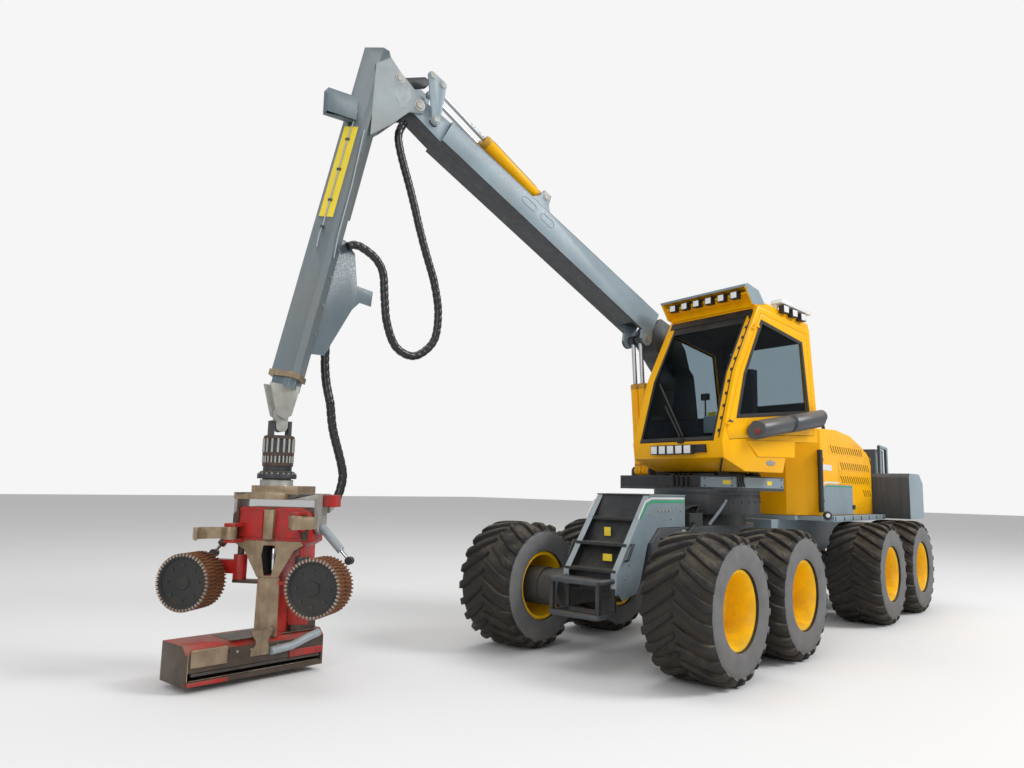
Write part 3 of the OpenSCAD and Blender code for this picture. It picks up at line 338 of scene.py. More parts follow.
def make_weathering():
    "The node group that turns three scales into five masks."
    group = bpy.data.node_groups.new("weathering", "ShaderNodeTree")
    face = group.interface
    for name, value in (("Patch Scale", 2.0), ("Grain Scale", 60.0), ("Mud Top", 1.2)):
        face.new_socket(name=name, in_out="INPUT", socket_type="NodeSocketFloat").default_value = value
    for name in ("Patches", "Grain", "Dust", "Mud", "Streaks"):
        face.new_socket(name=name, in_out="OUTPUT", socket_type="NodeSocketFloat")
    nodes, links = group.nodes, group.links
    ins, outs = nodes.new("NodeGroupInput"), nodes.new("NodeGroupOutput")
    where = nodes.new("ShaderNodeTexCoord")
    geometry = nodes.new("ShaderNodeNewGeometry")

    def noise(scale_from, detail, rough, vector=None):
        n = nodes.new("ShaderNodeTexNoise")
        n.inputs["Detail"].default_value = detail
        n.inputs["Roughness"].default_value = rough
        links.new(vector or where.outputs["Object"], n.inputs["Vector"])
        if isinstance(scale_from, float):
            n.inputs["Scale"].default_value = scale_from
        else:
            links.new(scale_from, n.inputs["Scale"])
        return n.outputs["Fac"]

    def ramp(value, low, high, to_low=0.0, to_high=1.0):
        r = nodes.new("ShaderNodeMapRange")
        links.new(value, r.inputs["Value"])
        for key, v in (("From Min", low), ("From Max", high), ("To Min", to_low), ("To Max", to_high)):
            r.inputs[key].default_value = v
        return r.outputs["Result"]

    def mix(kind, a, b):
        m = nodes.new("ShaderNodeMath")
        m.operation = kind
        m.use_clamp = True
        for socket, value in zip(m.inputs, (a, b)):
            if isinstance(value, float):
                socket.default_value = value
            else:
                links.new(value, socket)
        return m.outputs[0]

    patches = noise(ins.outputs["Patch Scale"], 4.0, 0.6)
    grain = noise(ins.outputs["Grain Scale"], 3.0, 0.6)
    stretch = nodes.new("ShaderNodeMapping")
    stretch.inputs["Scale"].default_value = (9, 9, 0.7)
    links.new(where.outputs["Object"], stretch.inputs["Vector"])
    streaks = noise(1.5, 4.0, 0.65, stretch.outputs["Vector"])
    split = nodes.new("ShaderNodeSeparateXYZ")
    links.new(geometry.outputs["Normal"], split.inputs[0])
    height = nodes.new("ShaderNodeSeparateXYZ")
    links.new(where.outputs["Object"], height.inputs[0])
    dust = mix("MULTIPLY", ramp(split.outputs["Z"], 0.25, 0.95), ramp(patches, 0.35, 0.62))
    low = nodes.new("ShaderNodeMath")
    low.operation = "DIVIDE"
    links.new(height.outputs["Z"], low.inputs[0])
    links.new(ins.outputs["Mud Top"], low.inputs[1])
    near_ground = ramp(low.outputs[0], 1.0, 0.2)
    splash = mix("MULTIPLY", near_ground, ramp(noise(5.0, 6.0, 0.7), 0.40, 0.56))
    for name, value in (("Patches", ramp(patches, 0.3, 0.7)), ("Grain", grain), ("Dust", dust),
                        ("Mud", splash), ("Streaks", ramp(streaks, 0.45, 0.75))):
        links.new(value, outs.inputs[name])
    return group


WEATHERING = make_weathering()
print("weathering gives", [s.name for s in WEATHERING.interface.items_tree if s.in_out == "OUTPUT"])

# %% [markdown]
# A finish is a base colour, a second colour for its broad patches, a dust colour and a mud colour, mixed
# by the group's masks. Paint is smooth and a little glossy, cast and worn steel are rougher, rubber is
# almost matte. A fine bump keeps highlights from looking like glass.

# %% Finish maker
DUST, MUD = srgb(150, 138, 118), srgb(96, 82, 64)


def make_finish(name, colour, patch, rough=0.45, metal=0.0, dust=0.35, mud=0.5, streak=0.0,
                streak_colour=None, scale=2.0, grain=60.0, bump=0.15, mud_top=1.2, coat=0.0,
                attribute=None, shine=0.5):
    "A weathered material. Its colours are as the eye sees them, 0 to 255."
    colour = srgb(*colour)
    material = bpy.data.materials.new(name)
    material.use_nodes = True
    material.diffuse_color = colour
    nodes, links = material.node_tree.nodes, material.node_tree.links
    shader = nodes["Principled BSDF"]
    worn = nodes.new("ShaderNodeGroup")
    worn.node_tree = WEATHERING
    for key, value in (("Patch Scale", scale), ("Grain Scale", grain), ("Mud Top", mud_top)):
        worn.inputs[key].default_value = value

    def blend(a, b, mask, amount):
        m = nodes.new("ShaderNodeMix")
        m.data_type = "RGBA"
        k = nodes.new("ShaderNodeMath")
        k.operation = "MULTIPLY"
        links.new(mask, k.inputs[0])
        k.inputs[1].default_value = amount
        links.new(k.outputs[0], m.inputs["Factor"])
        for socket, value in ((m.inputs[6], a), (m.inputs[7], b)):
            if isinstance(value, tuple):
                socket.default_value = value
            else:
                links.new(value, socket)
        return m.outputs[2]

    shade = blend(colour, srgb(*patch), worn.outputs["Patches"], 0.8)
    if attribute:
        source = nodes.new("ShaderNodeAttribute")
        source.attribute_name, tint, share = attribute
        shade = blend(shade, srgb(*tint), source.outputs["Fac"], share)
    streaks = srgb(*streak_colour) if streak_colour else DUST
    for tint, mask, amount in ((streaks, "Streaks", streak), (DUST, "Dust", dust), (MUD, "Mud", mud)):
        if amount:
            shade = blend(shade, tint, worn.outputs[mask], amount)
    links.new(shade, shader.inputs["Base Color"])
    gloss = nodes.new("ShaderNodeMapRange")
    links.new(worn.outputs["Grain"], gloss.inputs["Value"])
    for key, value in (("From Min", 0.3), ("From Max", 0.7), ("To Min", max(rough - 0.08, 0.02)),
                       ("To Max", min(rough + 0.12, 1))):
        gloss.inputs[key].default_value = value
    links.new(gloss.outputs["Result"], shader.inputs["Roughness"])
    for key, value in (("Metallic", metal), ("Coat Weight", coat), ("Specular IOR Level", shine)):
        shader.inputs[key].default_value = value
    if bump:
        bumps = nodes.new("ShaderNodeBump")
        bumps.inputs["Strength"].default_value = bump
        bumps.inputs["Distance"].default_value = 0.004
        links.new(worn.outputs["Grain"], bumps.inputs["Height"])
        links.new(bumps.outputs["Normal"], shader.inputs["Normal"])
    return material


YELLOW = make_finish("yellow paint", (250, 184, 2), (240, 172, 2), 0.30, dust=0.10, mud=0.3, streak=0.06,
                     streak_colour=(170, 120, 20), shine=0.22, bump=0.05)
YELLOW_EDGE = make_finish("yellow paint, rubbed edge", (252, 192, 12), (205, 152, 30), 0.42, dust=0.1,
                          grain=25, shine=0.25, bump=0.1)
RIM_YELLOW = make_finish("yellow rim paint", (255, 202, 14), (250, 190, 8), 0.35, dust=0.15, mud=0.25,
                         shine=0.3, scale=6, bump=0.05)
GREY = make_finish("blue-grey paint", (138, 156, 166), (120, 136, 146), 0.42, dust=0.35, mud=0.5,
                   streak=0.22, bump=0.08)
GREY_EDGE = make_finish("blue-grey paint, rubbed edge", (165, 178, 184), (110, 104, 96), 0.5, grain=25)
DARK = make_finish("black paint", (36, 39, 43), (48, 52, 56), 0.5, dust=0.25, mud=0.4, streak=0.08,
                   bump=0.12)
DARK_EDGE = make_finish("black paint, rubbed edge", (72, 74, 74), (50, 50, 50), 0.5, grain=25)
SLATE = make_finish("dark grey paint", (60, 67, 73), (48, 54, 60), 0.5, dust=0.3, mud=0.4, streak=0.08)
RED = make_finish("red paint, scraped", (196, 22, 18), (120, 24, 20), 0.42, dust=0.4, mud=0.3, streak=0.5,
                  streak_colour=(96, 74, 62), scale=7, bump=0.2)
RED_EDGE = make_finish("red paint, bare edge", (134, 118, 100), (160, 40, 30), 0.5, metal=0.3, scale=9)
TAN_STEEL = make_finish("steel polished by bark", (168, 150, 124), (120, 100, 78), 0.38, metal=0.55,
                        dust=0.2, mud=0.2, streak=0.5, streak_colour=(92, 72, 54), scale=6, bump=0.25)
STEEL_EDGE = make_finish("bright steel edge", (205, 196, 178), (150, 136, 112), 0.3, metal=0.8, scale=12)
RUST = make_finish("rusty ribbed steel", (142, 92, 58), (104, 68, 46), 0.65, metal=0.35, dust=0.2, mud=0.2,
                   scale=9, bump=0.4)
PALE_STEEL = make_finish("pale cast steel", (176, 178, 174), (140, 138, 130), 0.5, metal=0.25, streak=0.3,
                         streak_colour=(110, 90, 70), scale=7)
CHROME = make_finish("chromed rod", (215, 217, 220), (190, 192, 195), 0.1, metal=1.0, dust=0, mud=0,
                     bump=0.0)
TYRE = make_finish("muddy tyre rubber", (31, 32, 34), (44, 43, 42), 0.72, dust=0.38, mud=0.15, scale=4,
                   grain=45, bump=0.5, attribute=("groove", (54, 49, 43), 0.5), shine=0.3)
# The sidewall grey is partly dry, dusty rubber and partly painted light.
SIDEWALL_DRY_AND_LIT = make_finish("dry sidewall rubber with painted light", (112, 112, 113), (94, 94, 95), 0.85, dust=0.2, mud=0.35,
                       scale=6, bump=0.25, mud_top=0.5)
RUBBER = make_finish("black rubber", (26, 27, 28), (40, 41, 42), 0.55, dust=0.35, mud=0.2, grain=90)
LAMP_BODY = make_finish("lamp housing", (30, 31, 33), (44, 45, 47), 0.45, dust=0.4, mud=0.0)
CLOTH = make_finish("seat cloth", (48, 50, 56), (60, 62, 68), 0.9, dust=0.1, mud=0.0, grain=300, bump=0.4)
BLANK_PLATE = make_finish("blank yellow plate", (238, 214, 60), (228, 200, 50), 0.4, dust=0.3, mud=0.1)
WHITE = make_finish("white paint", (226, 228, 228), (205, 206, 204), 0.4, dust=0.35, mud=0.2)
GREEN = make_finish("green stripe", (46, 160, 110), (40, 146, 100), 0.4, dust=0.3, mud=0.2)
# The stick's blue-grey is darkened as painted shade; its lit side faces take the paler GREY_LIT.
STICK_BLUE_SHADED = make_finish("blue-grey paint darkened as painted shade", (98, 114, 122), (84, 99, 107), 0.36, dust=0.2, mud=0.1,
                         streak=0.12)
# GREY_LIT is a paler copy of the blue-grey: on the stick's side faces it is painted light, elsewhere the pale
# paint of pipes, welds and tubes.
GREY_LIT = make_finish("pale blue-grey paint, also painted light", (158, 170, 176), (140, 152, 158), 0.4, dust=0.3, mud=0.2,
                       streak=0.25)
# Charcoal stands for painted shade on the boom's downward faces and the rear box's forward faces; it also
# colours the boom's bent foot.
CHARCOAL_SHADE = make_finish("charcoal, painted shade", (56, 61, 67), (48, 52, 57), 0.5, dust=0.3, mud=0.2, streak=0.15)
DARK_YELLOW = make_finish("yellow paint, oily", (206, 154, 30), (150, 112, 40), 0.4, dust=0.2, mud=0.0,
                          scale=9)
RUSTY_BAND = make_finish("rusty flange", (88, 66, 54), (58, 54, 52), 0.55, metal=0.3, dust=0.2, mud=0.0,
                         scale=14)
SOOT = make_finish("oily dark steel", (66, 58, 52), (94, 78, 66), 0.42, metal=0.35, dust=0.3, mud=0.2,
                   scale=8, bump=0.25)
SLOT_DARK = make_finish("shaded slot", (92, 66, 14), (60, 46, 18), 0.7, dust=0.1, mud=0.0, shine=0.1)
print(len(bpy.data.materials), "finishes")

# %% [markdown]
# Glass keeps a plain transmission shader with a light tint, and carries no weathering.

# %% Glass
GLASS = bpy.data.materials.new("tinted cab glass")
GLASS.use_nodes = True
pane = GLASS.node_tree.nodes["Principled BSDF"]
for key, value in (("Base Color", srgb(176, 188, 194)), ("Roughness", 0.02), ("Transmission Weight", 1.0),
                   ("IOR", 1.1)):
    pane.inputs[key].default_value = value

# %% [markdown]
# ## Dressing the CAD nodes
# Sheet metal never has knife edges. A copy of each CAD node is merged, its flat triangles are dissolved
# into whole faces, and a bevel rounds the edges and gives them the rubbed-edge finish.

# %% Dress a node
BODY_OF = {node: body for body, nodes in frame["record"]["behaviour"]["bodies"].items() for node in nodes}


def dressed(node, surface, edge, width=0.006):
    "A copy of a CAD node with rounded edges, which rides on the node's body and stands for it."
    mesh = frame["nodes"][node].data.copy()
    mesh.name = node + "_dressed"
    piece = bpy.data.objects.new(node + "_dressed", mesh)
    bpy.context.scene.collection.objects.link(piece)
    coated(piece, surface, edge)
    for face in mesh.polygons:
        face.material_index = 0
    edit_all(piece)
    bpy.ops.mesh.remove_doubles(threshold=0.00002)
    bpy.ops.mesh.dissolve_limited(angle_limit=math.radians(0.5))
    bpy.ops.object.mode_set(mode="OBJECT")
    if width:
        rounded(piece, width, 2, 30, 1)
    smoothed(piece, 32)
    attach(piece, BODY_OF[node])
    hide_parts(node)


WHEELS = [a + b + c for a in "fr" for b in "lr" for c in "12"]
PLAIN = {
    "front_frame": (SLATE, GREY_EDGE), "front_axle": (DARK, DARK_EDGE), "rear_frame": (GREY, GREY_EDGE),
    "front_step": (GREY, GREY_EDGE), "rear_axle": (DARK, DARK_EDGE), "engine": (DARK, DARK_EDGE),
    "rear_box": (SLATE, GREY_EDGE), "hood": (YELLOW, YELLOW_EDGE), "hood_rails": (DARK, DARK_EDGE),
    "turntable": (SLATE, GREY_EDGE), "cab_shell": (YELLOW, YELLOW_EDGE),
    "cab_roof": (YELLOW, YELLOW_EDGE), "cab_door": (YELLOW, YELLOW_EDGE),
    "seat": (CLOTH, CLOTH), "work_lamps": (LAMP_BODY, LAMP_BODY), "lift_barrels": (YELLOW, YELLOW_EDGE),
    "boom": (GREY, GREY_EDGE), "stick_barrels": (YELLOW, YELLOW_EDGE), "link": (GREY, GREY_EDGE),
    # The stick and its extension take blue-grey darkened as painted shade.
    "coupler": (DARK, DARK_EDGE), "stick": (STICK_BLUE_SHADED, GREY_EDGE), "extension": (STICK_BLUE_SHADED, GREY_EDGE),
    "crosshead": (PALE_STEEL, STEEL_EDGE), "rotator": (DARK, DARK_EDGE),
    "tilt_frame": (PALE_STEEL, STEEL_EDGE),
    "head_body": (RED, RED_EDGE), "feed_arm_left": (DARK, STEEL_EDGE), "feed_arm_right": (RED, RED_EDGE),
    "knife_left": (TAN_STEEL, STEEL_EDGE), "knife_right": (TAN_STEEL, STEEL_EDGE),
    "saw_bar": (PALE_STEEL, STEEL_EDGE)}
for node, (surface, edge) in PLAIN.items():
    dressed(node, surface, edge, 0.003 if node in ("link", "saw_bar", "work_lamps") else 0.006)
for node in ("lift_rods", "stick_rods"):
    dressed(node, CHROME, CHROME, 0.002)
for node in ("cab_glass", "door_glass"):
    dressed(node, GLASS, GLASS, 0.0)
print("dressed", len(PLAIN) + 4, "nodes")

# %% [markdown]
# ## Tyres
# A forestry tyre is a fat carcass with a ring of angled bars on each half, which meet in a chevron. The
# carcass is spun from its profile. One bar is drawn as a swept box that follows the crown and wraps
# over the shoulder, then copied round both halves. A "groove" value, stored in the mesh, tells the
# rubber how deep a point lies, and mud gathers there.

# %% One tyre
TYRE_HALF, RIM_R, BARS = 0.355, 0.337, 22
UNROLLED_R, SHOULDER_R, GROOVE_TOP, GROOVE_DEPTH = 0.65, 0.585, 0.662, 0.03


def make_tyre(name, centre):
    "A carcass with its bars, and a groove value in the mesh."
    half = TYRE_HALF
    profile = [(RIM_R + 0.0004, -half + 0.06), (0.364, -half + 0.058), (0.366, -half + 0.022),
               (0.39, -half + 0.008), (0.45, -half + 0.001), (0.53, -half + 0.003), (0.575, -half + 0.014),
               (0.602, -half + 0.045), (0.618, -half + 0.10), (0.628, -0.12), (0.631, 0.0)]
    profile += [(r, -a) for r, a in profile[-2::-1]]
    body = lathe(name, profile, (0, 0, 0), "Y", 96)
    stations = [(0.0, 0.008, 0.050), (0.030, 0.050, 0.056), (0.082, 0.130, 0.066), (0.140, 0.215, 0.078),
                (0.176, 0.275, 0.086), (0.196, 0.318, 0.088), (0.206, 0.340, 0.080)]
    tops = [0.668, 0.670, 0.670, 0.668, 0.662, 0.640, 0.585]
    roots = [0.620, 0.620, 0.618, 0.612, 0.600, 0.575, 0.545]
    outs = [0, 0, 0, 0, 0.002, 0.010, 0.0135]
    for way in (1, -1):
        points = []
        for (s, y, w), top, root, out in zip(stations, tops, roots, outs):
            for along in (-w / 2, w / 2):
                for r in (root, top):
                    angle = (s + along * (0.86 if r == top else 1.0)) / UNROLLED_R
                    yy = way * min(y + out, half - 0.0005) if r == top else way * (y - 0.02)
                    points.append((r * math.sin(angle), yy, r * math.cos(angle)))
        faces = []
        for i in range(len(stations) - 1):
            a, b = 4 * i, 4 * (i + 1)
            faces += [[a, a + 1, b + 1, b], [a + 1, a + 3, b + 3, b + 1], [a + 3, a + 2, b + 2, b + 3],
                      [a + 2, a, b, b + 2]]
        e = 4 * (len(stations) - 1)
        faces += [[0, 2, 3, 1], [e, e + 1, e + 3, e + 2]]
        bar = outward(new_piece(name + "_bar", points, faces))
        rounded(bar, 0.006, 1, 35)
        shift = 0.0 if way > 0 else math.pi / BARS
        bars = repeated(bar, [Matrix.Rotation(shift + k * 2 * math.pi / BARS, 4, "Y") for k in range(BARS)])
        body = joined(name, [body, bars])
    mesh = body.data
    groove = mesh.attributes.new("groove", "FLOAT", "POINT")
    for point, value in zip(mesh.vertices, groove.data):
        r = math.hypot(point.co.x, point.co.z)
        value.value = min(1, max(0, (GROOVE_TOP - r) / GROOVE_DEPTH)) if abs(point.co.y) < 0.33 else 0.0
    # The sidewalls take the pale grey, partly dry rubber and partly painted light.
    coated(body, TYRE, SIDEWALL_DRY_AND_LIT)
    for face in mesh.polygons:
        c = face.center
        face.material_index = 1 if math.hypot(c.x, c.z) < SHOULDER_R and abs(c.y) > half - 0.03 else 0
    mesh.transform(Matrix.Translation(centre))
    return smoothed(body, 40)


for code in WHEELS:
    centre = [(a + b) / 2 for a, b in zip(*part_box("tyre_" + code))]
    tyre = make_tyre("tyre_" + code + "_lugs", centre)
    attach(tyre, "wheel_" + code)
    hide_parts("tyre_" + code)
print("a tyre has", len(tyre.data.polygons), "faces")

# %% [markdown]
# ## Rims
# The rims are deep yellow dishes: a rolled flange, a long cone down to the disc, and a ring of nuts on
# the hub.

# %% One rim
HUB = ((0.0, 0.075), (0.060, 0.075), (0.078, 0.066), (0.084, 0.050), (0.086, 0.012), (0.0948, 0.008),
       (0.0948, 0.001), (0.0, 0.001))
for code in WHEELS:
    side = 1 if code[1] == "l" else -1
    centre = [(a + b) / 2 for a, b in zip(*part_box("tyre_" + code))]
    face = TYRE_HALF - 0.045
    deep = face - 0.285
    profile = [(0.095, deep), (0.095, deep + 0.012), (0.245, deep + 0.012), (0.262, deep + 0.016),
               (0.285, deep + 0.030), (0.300, deep + 0.075), (0.305, face - 0.09), (0.322, face - 0.035),
               (0.330, face - 0.012), (0.337, face), (0.350, face), (0.358, face - 0.002),
               (0.3615, face - 0.008), (0.3615, face - 0.014), (0.337, face - 0.016),
               (0.3365, -face + 0.016), (0.3615, -face + 0.014), (0.3615, -face + 0.004), (0.354, -face),
               (0.325, -face), (0.300, deep), (0.095, deep)]
    rim = lathe("rim_" + code + "_dish", [(r, side * a) for r, a in profile], centre, "Y", 72)
    nut = disc("nut", (0.150, side * (deep + 0.010), 0), (0, side, 0), 0.019, 0.028, 6)
    nuts = round_row(rounded(nut, 0.002, 1, 40), 10, "Y")
    hub = lathe("hub", [(r, side * (deep + a)) for r, a in HUB], (0, 0, 0), "Y", 40)
    for extra, word in ((nuts, "nuts_"), (hub, "hub_")):
        extra.data.transform(Matrix.Translation(centre))
        finish(smoothed(extra), "wheel_" + code, DARK)
        extra.name = word + code
    finish(smoothed(rim, 40), "wheel_" + code, RIM_YELLOW)
    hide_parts("rim_" + code)
print("rims done")

# %% [markdown]
# ## Hoses
# The two hose bundles hang along the same round-number route as in the CAD, in the crane's plane. A
# smooth curve runs through the route's points, and the wrap around each bundle is a small wave of the
# radius that winds like a screw thread.

# %% Hoses
def smooth_route(points, step):
    "A Catmull-Rom curve through the points, resampled at an even step."
    points = [Vector(p) for p in points]
    fine = []
    for i in range(len(points) - 1):
        a, b, c, d = (points[max(0, min(len(points) - 1, i + k))] for k in (-1, 0, 1, 2))
        for t in (j / 24 for j in range(24)):
            fine.append(0.5 * (2 * b + (c - a) * t + (2 * a - 5 * b + 4 * c - d) * t * t
                               + (3 * b - a - 3 * c + d) * t * t * t))
    fine.append(points[-1])
    even, run = [fine[0]], 0.0
    for p, q in zip(fine, fine[1:]):
        run += (q - p).length
        if run >= step:
            even.append(q)
            run = 0.0
    return even + [fine[-1]]


HOSE_R, HOSE_SIDES, WRAP_PITCH, WRAP_NOTCH = 0.044, 14, 0.075, 0.0045


def wrapped_hose(name, route):
    "A hose bundle in its spiral wrap, in the crane's plane."
    path = smooth_route(route, 0.011)
    points, run, side = [], 0.0, None
    for i, p in enumerate(path):
        before = path[max(i - 1, 0)]
        along = (path[min(i + 1, len(path) - 1)] - before).normalized()
        side = carried(side, along)
        other = along.cross(side)
        run += (p - before).length
        for k in range(HOSE_SIDES):
            turn = 2 * math.pi * k / HOSE_SIDES
            wave = (run / WRAP_PITCH - k / HOSE_SIDES) % 1
            r = HOSE_R - (WRAP_NOTCH if wave < 0.25 else 0.0)
            points.append(p + (side * math.cos(turn) + other * math.sin(turn)) * r)
    piece = new_piece(name, points, tube_faces(len(path), HOSE_SIDES))
    return smoothed(outward(coated(placed(piece, CRANE), HOSE)), 60)


HOSE = make_finish("spiral hose wrap", (24, 25, 27), (40, 41, 43), 0.26, dust=0.3, mud=0.0, grain=120,
                   bump=0.2)
LOOP = [(3.98, 0, 5.64), (4.06, 0.0424, 5.46), (4.02, 0.0424, 5.25), (3.88, 0.0424, 4.86),
        (3.71, 0.0424, 4.34), (3.56, 0.0424, 3.95), (3.49, 0.0424, 3.63), (3.51, 0.0424, 3.32),
        (3.63, 0.0424, 3.15), (3.8, 0.0424, 3.07), (3.99, 0.0424, 3.15), (4.1, 0.0424, 3.38),
        (4.14, 0.0424, 3.64), (4.17, 0.0424, 3.9), (4.26, 0.0424, 4.04), (4.4, 0.0424, 4.12),
        (4.5, 0.0424, 4.14), (4.58, 0.0424, 4.11)]
DROP = [(4.7, -0.0424, 3.3), (4.72, -0.0424, 3.1), (4.72, -0.0424, 2.9), (4.7, -0.03, 2.7), (4.66, 0, 2.5),
        (4.62, 0, 2.25), (4.54, 0, 2.0), (4.49, 0, 1.8), (4.52, 0, 1.62), (4.58, 0, 1.52)]
for name, route, first, second, start, end in (
        ("hose_loop_upper", LOOP[:6], "boom", "stick", LOOP[0], LOOP[5]),
        ("hose_loop_lower", LOOP[5:], "stick", "extension", LOOP[5], LOOP[12]),
        ("hose_drop_upper", DROP[:5], "extension", "crosshead", DROP[0], DROP[4]),
        ("hose_drop_middle", DROP[4:7], "crosshead", "rotator", DROP[4], DROP[6]),
        ("hose_drop_lower", DROP[6:], "rotator", "tilt_frame", DROP[6], DROP[9])):
    hose = wrapped_hose(name, route)
    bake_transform(hose)
    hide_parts("hose_loop" if "loop" in name else "hose_drop")
    print(name, len(hose.data.polygons), "faces")

# %% [markdown]
# ## Feed rollers
# Each roller is a steel drum with rows of ribs that bite the bark, a dished black hub plate and a pale,
# toothed rim. The ribs come in two staggered rows round the drum.

# %% Feed rollers
ROLLER_IN, ROLLER_OUT, ROLLER_Z, RIBS = 0.275, 0.575, 0.840, 46
BAR_FACES = [[0, 1, 2, 3], [7, 6, 5, 4], [0, 4, 5, 1], [1, 5, 6, 2], [2, 6, 7, 3], [3, 7, 4, 0]]


def tapered_bar(name, low, high, foot, root, tip, top):
    "A bar along y from low to high, whose half width goes from foot at root to tip at top."
    section = ((-foot, root), (foot, root), (tip, top), (-tip, top))
    return outward(new_piece(name, [(x, y, z) for y in (low, high) for x, z in section], BAR_FACES))


for side, word in ((-1, "left"), (1, "right")):
    here = HEAD @ Matrix.Translation((side * 0.600, 0, ROLLER_Z))
    body = "feed_roller_" + word
    drum = lathe(body + "_drum", [(0.206, ROLLER_IN), (0.228, ROLLER_IN), (0.232, ROLLER_IN + 0.004),
                                  (0.232, ROLLER_OUT - 0.012), (0.205, ROLLER_OUT - 0.012)],
                 (0, 0, 0), "Y", 72, here)
    shell = lathe(body + "_shell", [(0.206, ROLLER_IN), (0.205, ROLLER_OUT - 0.055),
                                    (0.052, ROLLER_OUT - 0.055),
                                    (0.052, ROLLER_OUT - 0.040), (0.196, ROLLER_OUT - 0.030),
                                    (0.205, ROLLER_OUT - 0.012)], (0, 0, 0), "Y", 72, here)
    length = (ROLLER_OUT - ROLLER_IN) / 2
    rib = tapered_bar(body + "_ribs", 0.002, length - 0.002, 0.010, 0.229, 0.004, 0.2495)
    rows = [Matrix.Translation((0, ROLLER_IN + j * length, 0)) @
            Matrix.Rotation((i + 0.5 * j) * 2 * math.pi / RIBS, 4, "Y") for i in range(RIBS)
            for j in (0, 1)]
    ribs = placed(repeated(rib, rows), here)
    tooth = tapered_bar(body + "_rim_teeth", ROLLER_OUT - 0.014, ROLLER_OUT, 0.007, 0.224, 0.0035, 0.2497)
    teeth = round_row(tooth, RIBS, "Y", here)
    hub = [(0.0, 0.008), (0.060, 0.008), (0.066, 0.016), (0.204, 0.026), (0.214, 0.008), (0.2235, 0.006),
           (0.2235, 0.022), (0.0, 0.036)]
    hub = lathe(body + "_hub", [(r, ROLLER_OUT - a) for r, a in hub], (0, 0, 0), "Y", 64, here)
    bolt = disc(body + "_bolts", (0.150, ROLLER_OUT - 0.026, 0), (0, 1, 0), 0.012, 0.012, 6)
    bolts = round_row(bolt, 8, "Y", here)
    for piece, surface, angle in ((drum, RUST, 35), (shell, DARK, 35), (ribs, RUST, 20),
                                  (teeth, PALE_STEEL, 20), (hub, RUBBER, 35), (bolts, DARK, 30)):
        finish(smoothed(piece, angle), body, surface)
    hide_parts(body)
    recolour(drum, RUBBER, lambda p, n: n.y > 0.6, HEAD)
print("rollers done")

# %% [markdown]
# ## Cab
# Most of the cab's character lies in its trim: rubber round the panes, the dark header over the windscreen,
# the double front pillar with its row of clips, two storage tubes under the door's window, lamps, wiper and
# the dark inside. Flat outlines are drawn in the turned frame of the upper part.

# %% Outline helpers
def grown(outline, width):
    "An anticlockwise outline with each edge moved outwards."
    count, result = len(outline), []
    for i in range(count):
        a, b, c = (Vector(outline[(i + k - 1) % count]) for k in range(3))
        u, v = (b - a).normalized(), (c - b).normalized()
        n, m = Vector((u.y, -u.x)), Vector((v.y, -v.x))
        mid = (n + m).normalized()
        result.append(tuple(b + mid * width / max(0.3, mid.dot(n))))
    return result


def ring_frame(name, outline, inner, outer, thick, place, at):
    "A flat frame round an outline, from inner to outer beside it."
    a, b = grown(outline, inner), grown(outline, outer)
    n = len(outline)
    points = [(u, at + d, v) for d in (0, thick) for loop in (a, b) for u, v in loop]
    faces = []
    for i in range(n):
        j = (i + 1) % n
        faces += [[i, j, n + j, n + i], [2 * n + i, 3 * n + i, 3 * n + j, 2 * n + j],
                  [i, 2 * n + i, 2 * n + j, j], [n + i, n + j, 3 * n + j, 3 * n + i]]
    return placed(outward(new_piece(name, points, faces)), place)


def inside(outline, u, v):
    "Is a point inside an outline?"
    hit = False
    for (a, b), (c, d) in zip(outline, outline[1:] + outline[:1]):
        if (b > v) != (d > v) and u < (c - a) * (v - b) / (d - b) + a:
            hit = not hit
    return hit


CAB_SIDE = [(0.8, 2.09), (0.825, 2.277), (0.575, 3.06), (0.12, 3.9), (-0.92, 3.764), (-1.03, 2.711),
            (-1.03, 2.343), (-0.42, 2.323), (-0.29, 1.95), (0.43, 1.95)]
WINDOW = [(0.54, 2.56), (0.40, 3.06), (0.06, 3.72), (-0.74, 3.56), (-0.85, 2.74), (-0.85, 2.70)]
core = grown(CAB_SIDE, -0.012)
hits = repaint("cab_shell", CLOTH, lambda p, n: -0.412 < p.y + n.y * 0.004 < 0.862
               and inside(core, p.x + n.x * 0.02, p.z + n.z * 0.02), UPPER)
print("faces inside the cab", hits)
CHEEK = [(-0.036, 3.943), (0.150, 3.918), (0.198, 3.918), (0.338, 4.128), (0.290, 4.148), (0.081, 4.099)]
for y in (-0.4345, 0.8802):
    cheek = sheet_metal("visor_cheek", CHEEK, 0.004, UPPER, y)
    finish(rounded(cheek, 0.0012, 1), "upper", GREY)
LIP = [(0.200, 4.1300), (0.290, 4.1520), (0.3445, 4.1315), (0.334, 4.108), (0.270, 4.1265)]
finish(rounded(sheet_metal("visor_lip", LIP, 1.318, UPPER, -0.434), 0.002, 1), "upper", GREY)
repaint("cab_roof", GREY, lambda p, n: p.x > -0.045
        and (n.z > 0.3 and (p.z > 4.02 or p.x < 0.03) or p.x > 0.285
        or abs(n.y) > 0.6 and (p.y > 0.868 or p.y < -0.425) and p.z > 3.93), UPPER)
repaint("cab_roof", WHITE, lambda p, n: p.y > 0.782 and p.x < -0.2 and p.z > 3.90, UPPER)

# %% [markdown]
# The panes sit in black rubber. The windscreen bends twice, so its rubber strips and its dark header are
# drawn from the side, where the bend shows, and given their width along the cab.

# %% Cab seals and pillar
SCREEN = [(0.815, 2.29), (0.565, 3.06), (0.14, 3.85)]


